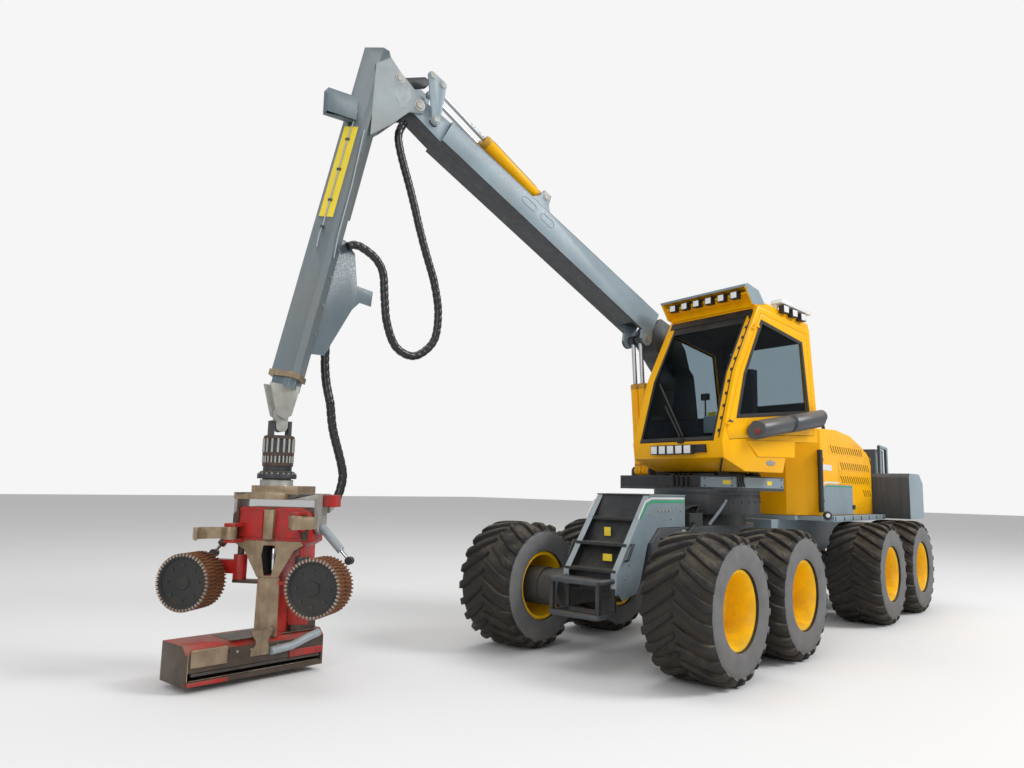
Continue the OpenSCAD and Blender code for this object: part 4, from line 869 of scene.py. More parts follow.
def on_screen(t, out):
    "The point a part t of the way up the windscreen's side outline, out in front of it."
    a, b, c = (Vector(p) for p in SCREEN)
    lower, upper = (b - a).length, (c - b).length
    s = t * (lower + upper)
    if s < lower:
        p, way = a + (b - a) * (s / lower), b - a
    else:
        p, way = b + (c - b) * ((s - lower) / upper), c - b
    normal = Vector((way.y, -way.x)).normalized()
    return p + normal * out


def screen_strip(name, t0, t1, y0, y1, thick=0.006, low=-0.001):
    "A strip that lies on the windscreen, from t0 to t1 up it."
    ts = sorted({t0, t1} | ({0.478} if t0 < 0.478 < t1 else set()))
    outline = [tuple(on_screen(t, low)) for t in ts]
    outline += [tuple(on_screen(t, low + thick)) for t in reversed(ts)]
    return sheet_metal(name, outline, y1 - y0, UPPER, y0)


seals = [screen_strip("seal", 0.0, 1.0, -0.335, -0.305), screen_strip("seal", 0.0, 1.0, 0.755, 0.785),
         screen_strip("seal", -0.004, 0.022, -0.335, 0.785, 0.010),
         screen_strip("seal", 0.90, 1.0, -0.335, 0.785, 0.005),
         ring_frame("seal", WINDOW, -0.022, 0.020, 0.005, UPPER, -0.455)]
finish(joined("cab_seals", seals), "upper", RUBBER)
door_seal = ring_frame("door_seal", WINDOW, -0.024, 0.020, 0.005, UPPER, 0.9005)
finish(rounded(door_seal, 0.002, 1), "door", RUBBER)
header = screen_strip("windscreen_header", 0.955, 1.012, -0.40, 0.84, 0.02, 0.0)
finish(rounded(header, 0.004, 1), "upper", LAMP_BODY)
clips = []
for i in range(11):
    t = 0.05 + i * 0.088
    a, b = on_screen(t, 0.010), on_screen(t + 0.018, 0.010)
    clips.append(sheet_metal("clip", [tuple(a), tuple(b), tuple(on_screen(t + 0.018, 0.022)),
                                      tuple(on_screen(t, 0.022))],
                             0.030, UPPER, 0.825))
finish(joined("pillar_clips", clips), "upper", LAMP_BODY)
finish(screen_strip("pillar_gap", 0.01, 0.995, 0.846, 0.857, 0.004, 0.0105), "upper", RUBBER)
print("seals and pillar done")

# %% [markdown]
# Each work lamp's housing is a CAD solid. Here it gets a black bezel and a bright lens on its front.

# %% Cab lamps
def work_lamp(low, high, axis):
    "A bezel and a lens on the face of a lamp's body that looks along axis 0 or 1."
    pieces = []
    for depth, inset, surface in ((0.004, 0.0, LAMP_BODY), (0.008, 0.009, LENS_WHITE)):
        a = [v + (0 if k == axis else inset) for k, v in enumerate(low)]
        b = [v - (0 if k == axis else inset) for k, v in enumerate(high)]
        a[axis], b[axis] = high[axis] - 0.004, high[axis] + depth
        pieces.append(coated(rounded(block("lens", a, b, UPPER), 0.003, 2), surface))
    return pieces


LENS_WHITE = make_finish("bright lamp lens", (236, 238, 238), (214, 218, 220), 0.16, dust=0.1, mud=0,
                         coat=0.6, scale=30, grain=200, bump=0.3)
lamps = []
for y in (-0.080, 0.046, 0.172, 0.298, 0.424):
    lamps += work_lamp((0.849, y, 2.130), (0.909, y + 0.112, 2.238), 0)
for y in (-0.300, -0.110, 0.080, 0.270, 0.460, 0.650):
    lamps += work_lamp((0.2413, y, 3.990), (0.3113, y + 0.100, 4.080), 0)
for x in (-0.430, -0.610, -0.790):
    z = 3.880 + 0.13 * (x + 0.430)
    lamps += work_lamp((x, 0.8803, z), (x + 0.110, 0.9453, z + 0.095), 1)
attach(smoothed(joined("lamp_lenses", lamps), 30), "upper")
print("lamps", len(lamps) // 2)

# %% [markdown]
# Two storage tubes hang on the door. Their front ends are cut at a slant, and each has a small red reflector.

# %% Door tubes
TUBE_GREY = make_finish("dark tube", (72, 76, 80), (60, 64, 68), 0.38, dust=0.5, mud=0.0, bump=0.08)
TUBE_R, TUBE_CUT = 0.104, 0.075


def door_tube(start, end):
    "A tube from start to end, with a slanted front end and both ends drawn in a little."
    a, b = Vector(start), Vector(end)
    along = (b - a).normalized()
    tube = pipe("tube", [a, a + along * 0.012, a + (b - a) * 0.5, b - along * 0.012, b], TUBE_R, 28)
    for v in tube.data.vertices:
        s = (v.co - a).dot(along)
        if s < 0.02:
            v.co += along * TUBE_CUT * ((v.co.z - a.z) / TUBE_R + (v.co.y - a.y) / TUBE_R) * 0.5
        if s < 0.004 or s > (b - a).length - 0.004:
            centre = a + along * s
            v.co = centre + (v.co - centre) * 0.93
    return placed(tube, UPPER)


tubes = [door_tube((0.360, 1.010, 2.410), (-0.235, 1.010, 2.511)),
         door_tube((-0.285, 1.010, 2.520), (-0.900, 1.010, 2.624))]
finish(joined("door_tubes", tubes), "door", TUBE_GREY)
# A black ring fills the gap between the two tubes as painted shade.
gap_shade = pipe("tube_gap_shade", [(-0.225, 1.010, 2.5095), (-0.295, 1.010, 2.5215)], 0.090, 28, UPPER)
finish(gap_shade, "door", RUBBER)
caps = []
for x, z in ((0.330, 2.400), (-0.290, 2.515)):
    cap = disc("cap", (0, 0, 0), (1, 0, 0), 0.034, 0.012, 28, None, 0.003)
    cap.data.transform(UPPER @ Matrix.Translation((x + 0.045, 1.040, z))
                       @ Matrix.Rotation(math.radians(38), 4, "Z")
                       @ Matrix.Rotation(math.radians(28), 4, "Y"))
    caps.append(cap)
REFLECTOR = make_finish("red reflector", (150, 30, 28), (120, 20, 20), 0.18, dust=0.1, mud=0, coat=0.5,
                        grain=300, bump=0.3)
finish(joined("tube_reflectors", caps), "door", REFLECTOR)
repaint("cab_door", TUBE_GREY, lambda p, n: p.y > 0.912 and p.z < 2.78 and p.x > -1.2, UPPER)
print("door tubes done")

# %% [markdown]
# Below the tubes the side carries a raised panel with a blank oval badge under it. The wiper lies on the
# windscreen, and a small display stands behind it.

# %% Cab side, wiper and display
FACET = [(0.403, 2.298), (0.197, 2.120), (-0.522, 2.134), (-0.531, 2.333)]
facet = sheet_metal("side_facet", FACET, 0.014, UPPER, 0.9004)
finish(rounded(facet, 0.006, 2), "upper", YELLOW, YELLOW)
oval = UPPER @ Matrix.Translation((-0.054, 0.9002, 2.055)) @ Matrix.Diagonal((1, 1, 0.36, 1))
badge = lathe("blank_badge", [(0.0, 0.010), (0.060, 0.0095), (0.086, 0.006), (0.092, 0.0)], (0, 0, 0), "Y",
              40, oval)
finish(smoothed(badge, 40), "upper", PALE_STEEL)


def on_pane(y, z, out=0.018):
    "A point in front of the windscreen's lower pane, at height z."
    p = on_screen(0.4744 * (z - 2.29) / 0.77, out)
    return (p.x, y, p.y)


arms = [pipe("arm", [on_pane(-0.213, 3.014), on_pane(0.338, 2.337)], 0.011, 8, UPPER),
        pipe("arm", [on_pane(-0.035, 2.721, 0.026), on_pane(0.300, 2.330, 0.026)], 0.009, 8, UPPER),
        rounded(block("arm", (0.80, 0.27, 2.262), (0.845, 0.36, 2.318), UPPER), 0.008, 2)]
finish(joined("wiper", arms), "upper", RUBBER)
line = pipe("front_hose", [(0.47, 0.594, 1.955), (0.64, 0.74, 2.018), (0.808, 0.885, 2.080)], 0.011, 10,
            UPPER)
finish(line, "upper", RUBBER)
for name, low, high, width, segments, surface in (
        ("display", (0.40, 0.330, 2.40), (0.44, 0.540, 2.60), 0.008, 2, GREY_LIT),
        ("display_tag", (0.405, 0.39, 2.60), (0.435, 0.50, 2.645), 0.003, 1, BLANK_PLATE),
        ("cab_radio", (0.42, 0.31, 2.79), (0.46, 0.42, 2.87), 0.006, 2, LAMP_BODY)):
    finish(rounded(block(name, low, high, UPPER), width, segments), "upper", surface)
stem = pipe("cab_radio_stem", [(0.44, 0.365, 2.60), (0.44, 0.365, 2.80)], 0.010, 8, UPPER)
finish(stem, "upper", LAMP_BODY)
print("cab side done")

# %% [markdown]
# ## Hood and rear
# The hood's side carries a grey-blue panel with a white and a green stripe, a blank number plate, rows of
# louvres and a seam where the rear lid part begins.

# %% Hood details
HOOD_Y = 0.820
HOOD_TRIM = (
    ("hood_panel_", GREY, 0.004, 0.0,
     [(-5.13, 1.43), (-5.13, 1.842), (-4.08, 1.842), (-3.99, 1.825), (-3.93, 1.77), (-3.892, 1.68),
      (-3.892, 1.43)]),
    ("hood_white_", WHITE, 0.003, 0.0,
     [(-5.13, 1.858), (-5.13, 1.882), (-4.06, 1.882), (-3.96, 1.860), (-3.892, 1.79), (-3.885, 1.75),
      (-3.90, 1.75), (-3.912, 1.785), (-3.97, 1.842), (-4.07, 1.858)]),
    ("hood_green_", GREEN, 0.002, 0.004,
     [(-5.13, 1.812), (-5.13, 1.826), (-4.09, 1.826), (-4.0, 1.808), (-3.944, 1.757), (-3.905, 1.67),
      (-3.92, 1.67), (-3.957, 1.748), (-4.008, 1.795), (-4.095, 1.812)]),
    ("hood_plate_", WHITE, 0.004, 0.0,
     [(-4.289, 2.030), (-4.289, 2.110), (-3.894, 2.110), (-3.894, 2.030)]))
SEAM = [(-6.033, 2.18), (-5.97, 2.28), (-5.86, 2.35), (-5.72, 2.375)]
for side, word in ((1, "left"), (-1, "right")):
    for name, surface, thick, lift, outline in HOOD_TRIM:
        low = HOOD_Y + lift if side > 0 else -HOOD_Y - lift - thick
        finish(rounded(sheet_metal(name + word, outline, thick, None, low), 0.0012, 1), "hood", surface)
    band = pipe("hood_seam_" + word, [(x, side * (HOOD_Y + 0.001), z) for x, z in SEAM], 0.007, 8)
    finish(band, "hood", RUBBER)
    low, high = sorted((side * HOOD_Y, side * (HOOD_Y + 0.018)))
    latch = rounded(block("hood_latch_" + word, (-5.2, low, 1.50), (-5.10, high, 1.56)), 0.004, 2)
    finish(latch, "hood", DARK)
RIDGE = [(-3.600, 2.482), (-3.90, 2.592), (-4.5, 2.612), (-5.1, 2.562), (-5.6, 2.432), (-6.02, 2.277)]
for y in (-0.45, 0.45):
    finish(pipe("hood_ridge", [(x, y, z) for x, z in RIDGE], 0.010, 8), "hood", YELLOW)
# The rear box's forward faces take charcoal as painted shade, and its left side and top take blue-grey as
# painted light.
repaint("rear_box", CHARCOAL_SHADE, lambda p, n: n.x > 0.6)
repaint("rear_box", GREY, lambda p, n: n.y > 0.6 or n.z > 0.6)
ROWS = ((2.330, -4.30, 18), (2.110, -4.68, 14), (1.920, -4.68, 14), (1.730, -5.66, 4))
SLOT_STEP = 0.092
for side, word in ((1, "left"), (-1, "right")):
    panels, slots = [], []
    low = HOOD_Y if side > 0 else -HOOD_Y - 0.004
    for z, x0, count in ROWS:
        last = x0 - (count - 1) * SLOT_STEP
        outline = [(x0 + 0.10, z - 0.066), (x0 + 0.10, z + 0.066)]
        if z > 2.3:
            outline += [(-5.50, z + 0.066), (-5.80, z + 0.030), (-5.97, z - 0.066)]
        else:
            outline += [(last - 0.08, z + 0.066), (last - 0.10, z - 0.066)]
        panels.append(rounded(sheet_metal("panel", outline, 0.004, None, low), 0.0015, 1))
        for i in range(count):
            x = x0 - i * SLOT_STEP
            corner = [(x - 0.055, z - 0.050), (x - 0.027, z - 0.050), (x + 0.055, z + 0.050),
                      (x + 0.027, z + 0.050)]
            if all(inside(outline, u, v) for u, v in corner):
                slots.append(sheet_metal("slot", corner, 0.0055, None, low - (0.0 if side > 0 else 0.0015)))
    finish(joined("louvre_panels_" + word, panels), "hood", YELLOW)
    finish(joined("louvre_slots_" + word, slots), "hood", SLOT_DARK)
repaint("front_frame", DARK, lambda p, n: 1.33 < p.z < 1.76 and p.x > -2.95)
print("hood done")

# %% [markdown]
# ## Crane
# The boom's bent foot and its downward faces, darkened as painted shade, are almost black, its sides pale.
# Glands close the cylinder barrels, thin steel pipes feed them, and every pin shows a washer and a turned
# head.

# %% Crane colours
# Painted shade: the boom's downward faces take charcoal; its bent foot takes the same colour.
repaint("boom", CHARCOAL_SHADE, lambda p, n: n.z < -0.55 or p.x < 0.02, BOOM)
repaint("stick", TAN_STEEL, lambda p, n: p.z < -3.643, STICK)
# Painted light: the stick's lit side faces take the paler GREY_LIT.
repaint("stick", GREY_LIT, lambda p, n: abs(p.y) > 0.142 and p.z > -1.15 and p.x < -0.02, STICK)
repaint("extension", PALE_STEEL, lambda p, n: p.z < 2.645 and abs(p.y) > 0.06, CRANE)
repaint("lift_rods", DARK, lambda p, n: p.z > 3.62, CRANE)
repaint("stick_rods", PALE_STEEL,
        lambda p, n: (Vector((p.x, p.z)) - Vector((3.620, 6.120))).length < 0.06 and abs(p.y) < 0.14, CRANE)
print("crane colours done")

# %% [markdown]
# Both cylinder pairs get the same parts, so one loop makes them: a gland where the rod comes out, a ring at
# the foot and a thin steel pipe along the barrel. Pins are listed with the body that carries them.

# %% Cylinder glands and pipes
def aimed(x, z, to_x, to_z, y=0.0):
    "A frame in the crane's plane at (x, z) whose x axis points at (to_x, to_z)."
    return tilted(CRANE @ Matrix.Translation((0, y, 0)), x, z, math.degrees(math.atan2(to_z - z, to_x - x)))


for body, base, eye, gap, barrel, end in (
        ("lift_barrel", (0.245, 1.960), (0.370, 3.700), 0.066, 0.062, 1.140),
        ("stick_barrel", (2.112, 5.208), (3.620, 6.120), 0.072, 0.066, 0.980)):
    pieces, tubes = [], []
    for y in (-gap, gap):
        here = aimed(*base, *eye, y)
        rod = 0.0285 if body == "lift_barrel" else 0.0265
        pieces.append(lathe("gland", [(rod, end + 0.016), (barrel * 0.86, end + 0.016),
                                      (barrel * 0.97, end + 0.006), (barrel + 0.003, end - 0.004),
                                      (barrel + 0.003, end - 0.052), (barrel - 0.002, end - 0.056)],
                            (0, 0, 0), "X", 48, here))
        pieces.append(lathe("foot_ring", [(barrel - 0.002, 0.070), (barrel + 0.003, 0.074),
                                          (barrel + 0.003, 0.100),
                                          (barrel - 0.002, 0.104)], (0, 0, 0), "X", 48, here))
        up = barrel + 0.012
        tubes.append(pipe("feed", [(0.11, 0, barrel - 0.004), (0.12, 0, up), (0.16, 0, up + 0.006),
                                   (end - 0.10, 0, up + 0.006),
                                   (end - 0.065, 0, up), (end - 0.05, 0, barrel - 0.006)], 0.0085, 10,
                          here))
    finish(smoothed(joined(body + "_glands", pieces), 30), body, DARK_YELLOW)
    finish(joined(body + "_pipes", tubes), body, SLATE)
pins = []
for body, x, z, low, high, radius in (("stick", 4.135, 6.035, 0.170, 0.186, 0.058),
                                      ("stick", 3.8854, 5.8082, 0.170, 0.188, 0.068),
                                      ("link", 3.754, 6.184, 0.2085, 0.218, 0.036),
                                      ("link", 3.620, 6.120, 0.2085, 0.218, 0.036),
                                      ("boom", 3.687, 5.697, 0.204, 0.212, 0.038),
                                      ("boom", 2.112, 5.208, 0.185, 0.200, 0.052),
                                      ("boom", 0.370, 3.700, 0.185, 0.200, 0.058)):
    for s in (-1, 1):
        here = CRANE @ Matrix.Translation((x, 0, z))
        head = lathe("pin_head", [(0.0, s * (high - 0.003)), (radius * 0.45, s * (high - 0.003)),
                                  (radius * 0.50, s * high), (radius * 0.62, s * high),
                                  (radius * 0.66, s * (low + 0.007)), (radius * 0.94, s * (low + 0.006)),
                                  (radius, s * (low + 0.002)), (radius, s * (low - 0.002))], (0, 0, 0), "Y",
                     36, here)
        head.name = "pin_head_" + body
        finish(smoothed(head, 30), body, PALE_STEEL)
print("cylinders and pins done")

# %% [markdown]
# Pipes run along the boom under clamps, weld beads close its corners and outline two openings. On the stick
# a blank yellow plate lies on the face that is turned to the left front, and the stick's frame FACE puts
# it there.

# %% Boom and stick fittings
pieces = []
for y in (-0.09, -0.04, 0.01):
    pieces.append(pipe("boom_pipe", [(0.35, y, 0.172), (0.42, y, 0.200), (1.80, y, 0.188),
                                     (1.92, y, 0.186)], 0.0105, 10, BOOM))
finish(joined("boom_pipes", pieces), "boom", SLATE)
clamps = [rounded(block("clamp", (x, -0.115, 0.165), (x + 0.045, 0.035, 0.206 - 0.006 * i), BOOM), 0.004, 1)
          for i, x in enumerate((0.62, 1.05, 1.48))]
finish(joined("boom_clamps", clamps), "boom", DARK)
kidneys = []
KIDNEY_R, KIDNEY_Y = 0.0425, 0.186
for x0, x1 in ((2.02, 2.24), (2.33, 2.56)):
    loop = []
    for x, way in ((x0 + KIDNEY_R, -1), (x1 - KIDNEY_R, 1)):
        for t in (math.pi * k / 8 for k in range(9)):
            loop.append((x + way * KIDNEY_R * math.sin(t), KIDNEY_Y,
                         KIDNEY_R - way * KIDNEY_R * math.cos(t)))
    kidneys.append(pipe("kidney", loop + loop[:1], 0.0055, 8, BOOM))
finish(joined("bracket_welds", kidneys), "boom", GREY_LIT)
seams = []
for s in (-1, 1):
    for z in (-1, 1):
        seams.append(pipe("seam", [(0.30, s * 0.1845, z * 0.170), (3.70, s * 0.1845, z * 0.136)], 0.0045, 6,
                          BOOM))
finish(joined("boom_seams", seams), "boom", GREY_EDGE)
face_turn = math.degrees(math.atan2(0.17, -0.14))
FACE = STICK @ Matrix.Translation((0.105, 0.085, 0)) @ Matrix.Rotation(math.radians(face_turn), 4, "Z")
plate = rounded(block("stick_plate", (-0.078, -0.0045, -2.02), (0.078, -0.0005, -0.98), FACE), 0.001, 1)
finish(plate, "stick", BLANK_PLATE)
lines = [pipe("line", [(0.02, -0.012, -0.80), (0.00, -0.012, -1.2), (0.00, -0.012, -2.10),
                       (-0.012, -0.010, -2.22), (-0.004, -0.004, -2.36)],
              0.0075, 10, FACE),
         pipe("line", [(0.0, 0.178, -1.0), (-0.03, 0.180, -1.6), (-0.035, 0.180, -2.2),
                       (-0.06, 0.155, -2.42)], 0.0075, 10, STICK)]
finish(joined("stick_pipes", lines), "stick", GREY_LIT)
clips = [rounded(block("clip", (-0.022, -0.020, z), (0.022, 0.0, z + 0.028), FACE), 0.003, 1)
         for z in (-1.15, -1.5, -1.85, -2.15)]
finish(joined("stick_clips", clips), "stick", SLATE)
cap = rounded(block("stick_cap_hole", (-0.03, -0.028, -0.010), (0.05, 0.028, 0.0015), STICK), 0.010, 3)
finish(cap, "stick", RUBBER)
patch = [(4.02, 5.97), (4.06, 6.01), (4.13, 5.95), (4.19, 5.92), (4.20, 5.83), (4.155, 5.79), (4.12, 5.70),
         (4.06, 5.73), (4.03, 5.81), (3.99, 5.84), (4.00, 5.90)]
finish(sheet_metal("ear_worn_patch", patch, 0.0012, CRANE, 0.1702), "stick", GREY_EDGE)
bolts = [disc("bolt", (-0.10, 0.104, z), (-0.77, 0.64, 0), 0.011, 0.010, 6, STICK)
         for z in (-3.2, -2.9, -2.6, -2.3)]
finish(joined("stick_bolts", bolts), "stick", PALE_STEEL)
print("boom and stick done")

# %% [markdown]
# ## Rotator
# A turned core stands between two flanges, with a cage of bolts round it, pale partly from their steel and
# partly as painted highlight, and a wide black flange with screws below.

# %% Rotator cage
ROTATOR = CRANE @ Matrix.Translation((5.150, 0, 0))
rings = lathe("rotator_rings", [(0.128, 2.146), (0.140, 2.142), (0.142, 2.118), (0.1305, 2.112),
                                (0.1305, 1.995), (0.143, 1.990), (0.143, 1.962), (0.131, 1.958),
                                (0.131, 1.898), (0.140, 1.894), (0.140, 1.866), (0.131, 1.862)],
              (0, 0, 0), "Z", 56, ROTATOR)
finish(smoothed(rings, 30), "rotator", RUSTY_BAND)
recolour(rings, DARK, lambda p, n: 2.0 < p.z < 2.108 or 1.90 < p.z < 1.956)
upper_cage = round_row(disc("cage", (0.137, 0, 1.992), (0, 0, 1), 0.0105, 0.128, 10), 16, "Z", ROTATOR)
lower_cage = round_row(disc("cage", (0.1365, 0, 1.896), (0, 0, 1), 0.008, 0.064, 8), 24, "Z", ROTATOR)
# The cage's pale steel is partly painted highlight, standing for bright reflections on dark bolts.
finish(smoothed(joined("rotator_cage", [upper_cage, lower_cage]), 40), "rotator", PALE_STEEL)
flange = lathe("rotator_flange", [(0.128, 1.822), (0.150, 1.816), (0.158, 1.808), (0.158, 1.796),
                                  (0.176, 1.790), (0.178, 1.786),
                                  (0.178, 1.752), (0.174, 1.748), (0.128, 1.748)], (0, 0, 0), "Z", 64,
               ROTATOR)
finish(smoothed(flange, 30), "rotator", DARK)
screws = round_row(disc("screw", (0.166, 0, 1.789), (0, 0, 1), 0.009, 0.014, 6), 20, "Z", ROTATOR)
screws.name = "rotator_screws"
finish(screws, "rotator", PALE_STEEL)
print("rotator done")

# %% [markdown]
# ## Harvester head
# Bark has rubbed the paint off what the trunk slides along: the centre rib, the Y-shaped front, the column
# and its foot, and the knives. The rest keeps its scraped red.

# %% Head
repaint("head_body", TAN_STEEL, lambda p, n: (abs(p.x) < 0.122 and 0.376 < p.z < 0.875)
        or (abs(p.x) < 0.122 and 0.2 < p.z < 0.45 and 0.138 < p.y < 0.178)
        or (abs(p.x) < 0.05 and p.y > 0.201 and p.z > 1.17), HEAD)
repaint("head_body", RED, lambda p, n: n.x < -0.6 and abs(p.x) < 0.125 and 0.40 < p.z < 0.875, HEAD)
repaint("head_body", SOOT, lambda p, n: p.x > 0.15 and 0.40 < p.z < 1.12, HEAD)
repaint("head_body", RUBBER, lambda p, n: abs(p.x) < 0.075 and 0.885 < p.z < 1.15 and p.y < 0.199, HEAD)
repaint("head_body", SOOT, lambda p, n: p.z < 0.34 and (n.x > 0.6 or p.z < 0.20), SAW)
# Painted shade: the crosshead's far plate is painted black.
repaint("crosshead", DARK, lambda p, n: p.y < -0.03, CRANE)
repaint("tilt_frame", TAN_STEEL,
        lambda p, n: (p.y > 0.155 and p.z < 1.64) or (1.6155 < p.z < 1.64 and p.y > 0.0), HEAD)
HALF_FRONT = (
    ("wear_front", TAN_STEEL, 0.007, 0.002,
     [(0.0, 0.872), (0.105, 0.872), (0.128, 0.915), (0.245, 1.112), (0.330, 1.160), (0.300, 1.192),
      (0.0, 1.192), (0.0, 1.153), (0.054, 1.150), (0.070, 1.060), (0.036, 0.886), (0.0, 0.886)]),
    ("red_panel", RED, 0.008, 0.003,
     [(0.075, 1.22), (0.30, 1.22), (0.30, 1.38), (0.255, 1.455), (0.075, 1.455)]),
    ("side_guard", SOOT, 0.016, 0.003, [(0.31, 1.20), (0.365, 1.20), (0.365, 1.42), (0.31, 1.47)]))
for s in (-1, 1):
    for name, surface, thick, width, outline in HALF_FRONT:
        plate = sheet_metal(name, [(s * x, z) for x, z in outline], thick, HEAD, 0.1995)
        finish(rounded(plate, width, 1), "head", surface)
rod = disc("opening_rod", (0.0, 0.10, 0.92), (0, 0, 1), 0.028, 0.20, 16, HEAD, 0.004)
finish(smoothed(rod), "head", CHROME)
red_arm = sheet_metal("red_arm_plate", [(-0.118, 0.43), (-0.30, 0.44), (-0.285, 0.55), (-0.215, 0.68),
                                        (-0.205, 0.78), (-0.118, 0.80)],
                      0.040, HEAD, -0.045)
finish(rounded(red_arm, 0.005, 2), "head", RED)
bracket = rounded(block("red_bracket", (-0.53, -0.12, 1.50), (-0.412, 0.02, 1.61), HEAD), 0.006, 2)
finish(bracket, "tilt_frame", RED)
for s, arm, low in ((-1, "left", 1.028), (1, "right", 1.05)):
    ends = ((s * 0.418, 0.03, 1.320), (-0.70 if s < 0 else 0.638, 0.03, low))
    tube = pipe("feed_cylinder_" + arm, [ends[0], [a + 0.70 * (b - a) for a, b in zip(*ends)]], 0.038, 20)
    rod = pipe("feed_rod_" + arm, ends, 0.016, 16)
    eye = disc("feed_eye_" + arm, (ends[1][0], 0.0, ends[1][2]), (0, 1, 0), 0.036, 0.06, 24)
    for piece, surface in ((tube, GREY_LIT if s < 0 else SOOT), (rod, CHROME), (eye, DARK)):
        smoothed(coated(placed(piece, HEAD), surface), 40)
        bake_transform(piece)
print("head done")

# %% [markdown]
# The saw box lies low across the head. Its front has a polished block, a dark strip of bolts, the waisted
# foot of the column, a bent pale tube and the slot that the saw swings out of.

# %% Saw box
for name, low, high, surface in (
        ("saw_block", (0.30, 0.206, 0.205), (0.618, 0.226, 0.345), TAN_STEEL),
        ("saw_strip", (-0.26, 0.206, 0.240), (0.28, 0.216, 0.325), SOOT),
        ("saw_motor", (-0.60, -0.12, 0.374), (-0.34, 0.16, 0.455), SOOT),
        ("saw_top", (-0.62, -0.14, 0.370), (0.26, 0.186, 0.3785), SOOT),
        ("saw_lip", (0.28, 0.206, 0.058), (0.64, 0.220, 0.092), RED),
        ("saw_guide", (-0.63, 0.170, 0.132), (0.60, 0.205, 0.158), DARK),
        ("saw_right_guard", (-0.650, 0.206, 0.163), (-0.30, 0.222, 0.225), RED)):
    finish(rounded(block(name, low, high, SAW), 0.004, 2), "head", surface)
tube = pipe("saw_tube", [(-0.10, 0.236, 0.250), (-0.30, 0.242, 0.268), (-0.47, 0.238, 0.320),
                         (-0.60, 0.215, 0.345)], 0.036, 18, SAW)
finish(tube, "head", GREY_LIT)
spool = sheet_metal("column_foot", [(0.092, 0.225), (0.088, 0.262), (0.044, 0.322), (0.044, 0.352),
                                    (0.088, 0.405), (0.094, 0.440), (-0.115, 0.440),
                                    (-0.108, 0.405), (-0.076, 0.352), (-0.076, 0.322), (-0.094, 0.262),
                                    (-0.090, 0.225)], 0.026, SAW, 0.204)
finish(rounded(spool, 0.004, 2), "head", TAN_STEEL)
bright = [rounded(block("saw_edge", (-0.62, 0.2045, 0.100), (0.62, 0.2125, 0.106), SAW), 0.002, 1),
          rounded(block("saw_edge", (0.632, 0.2045, 0.10), (0.640, 0.2115, 0.345), SAW), 0.002, 1)]
finish(joined("saw_edges", bright), "head", STEEL_EDGE)
bolt = disc("saw_bolts", (0, 0.214, 0.285), (0, 1, 0), 0.012, 0.010, 6, None)
bolts = repeated(bolt, [Matrix.Translation((x, 0, 0)) for x in (-0.18, -0.05, 0.08, 0.21)])
finish(placed(bolts, SAW), "head", PALE_STEEL)
print("saw box done")

# %% [markdown]
# ## Front steps and chassis
# The side plates are pale and folded over along their slanted front edges. All between them is dark: tread
# plates with raised dimples, back panels and the tube-framed platform.

# %% Step details
STEP = Matrix.Translation((-0.175, 0, 0))
repaint("front_step", DARK, lambda p, n: abs(p.y) < 0.3085 or (p.z > 1.655 and n.z > 0.5), STEP)
pieces = []
for s in (-1, 1):
    here = tilted(STEP, 0.45, 0.90, 128.3)
    low, high = sorted((s * 0.320, s * 0.255))
    pieces.append(rounded(block("fold", (0.0, low, -0.005), (0.965, high, 0.004), here), 0.003, 2))
    nose = block("fold", (0.446, low, 0.762), (0.455, high, 0.905), STEP)
    pieces.append(rounded(nose, 0.003, 2))
finish(joined("step_folds", pieces), "front", GREY_LIT, GREY_LIT)
STRIPES = (
    ("step_white_", WHITE, [(-0.89, 1.622), (-0.89, 1.640), (-0.19, 1.640), (-0.07, 1.600), (0.075, 1.420),
                            (0.052, 1.420), (-0.085, 1.588), (-0.197, 1.622)]),
    ("step_green_", GREEN, [(-0.89, 1.585), (-0.89, 1.610), (-0.205, 1.610), (-0.095, 1.578),
                            (0.035, 1.420), (0.004, 1.420), (-0.115, 1.558), (-0.215, 1.585)]))
SIDE_BOLTS = [(-0.80, 1.50), (-0.72, 1.53), (-0.55, 1.50), (-0.48, 1.50), (-0.41, 1.50), (-0.34, 1.50),
              (-0.60, 1.42), (-0.16, 1.47), (0.30, 0.86), (0.22, 0.98)]
for s, word in ((1, "left"), (-1, "right")):
    for name, surface, outline in STRIPES:
        finish(sheet_metal(name + word, outline, 0.003, STEP, 0.3195 if s > 0 else -0.3225), "front",
               surface)
    bolt = disc("step_bolts_" + word, (0, s * 0.320, 0), (0, s, 0), 0.013, 0.011, 6)
    bolts = repeated(bolt, [Matrix.Translation((x, 0, z)) for x, z in SIDE_BOLTS])
    finish(placed(bolts, STEP), "front", PALE_STEEL)
dimple = new_piece("step_dimples", [(-0.014, 0, 0), (0, -0.004, 0), (0.014, 0, 0), (0, 0.004, 0),
                                    (0, 0, 0.004)],
                   [[0, 1, 4], [1, 2, 4], [2, 3, 4], [3, 0, 4], [3, 2, 1, 0]])
places, PITCH_OF_DIMPLES = [], 0.038
for x0, x1, z, half in ((-0.885, -0.16, 1.670, 0.30), (-0.180, 0.010, 1.430, 0.28),
                        (0.040, 0.23, 1.180, 0.28),
                        (0.230, 0.42, 0.935, 0.28), (0.410, 0.715, 0.845, 0.275)):
    rows, columns = int((x1 - x0) / PITCH_OF_DIMPLES), int(2 * half / PITCH_OF_DIMPLES)
    for i in range(rows):
        for j in range(columns):
            turn = Matrix.Rotation(math.radians(45 if (i + j) % 2 else -45), 4, "Z")
            x, y = x0 + (i + 0.5) * PITCH_OF_DIMPLES, -half + (j + 0.5) * PITCH_OF_DIMPLES
            places.append(Matrix.Translation((x, y, z)) @ turn)
finish(outward(placed(repeated(dimple, places), STEP)), "front", SLATE)
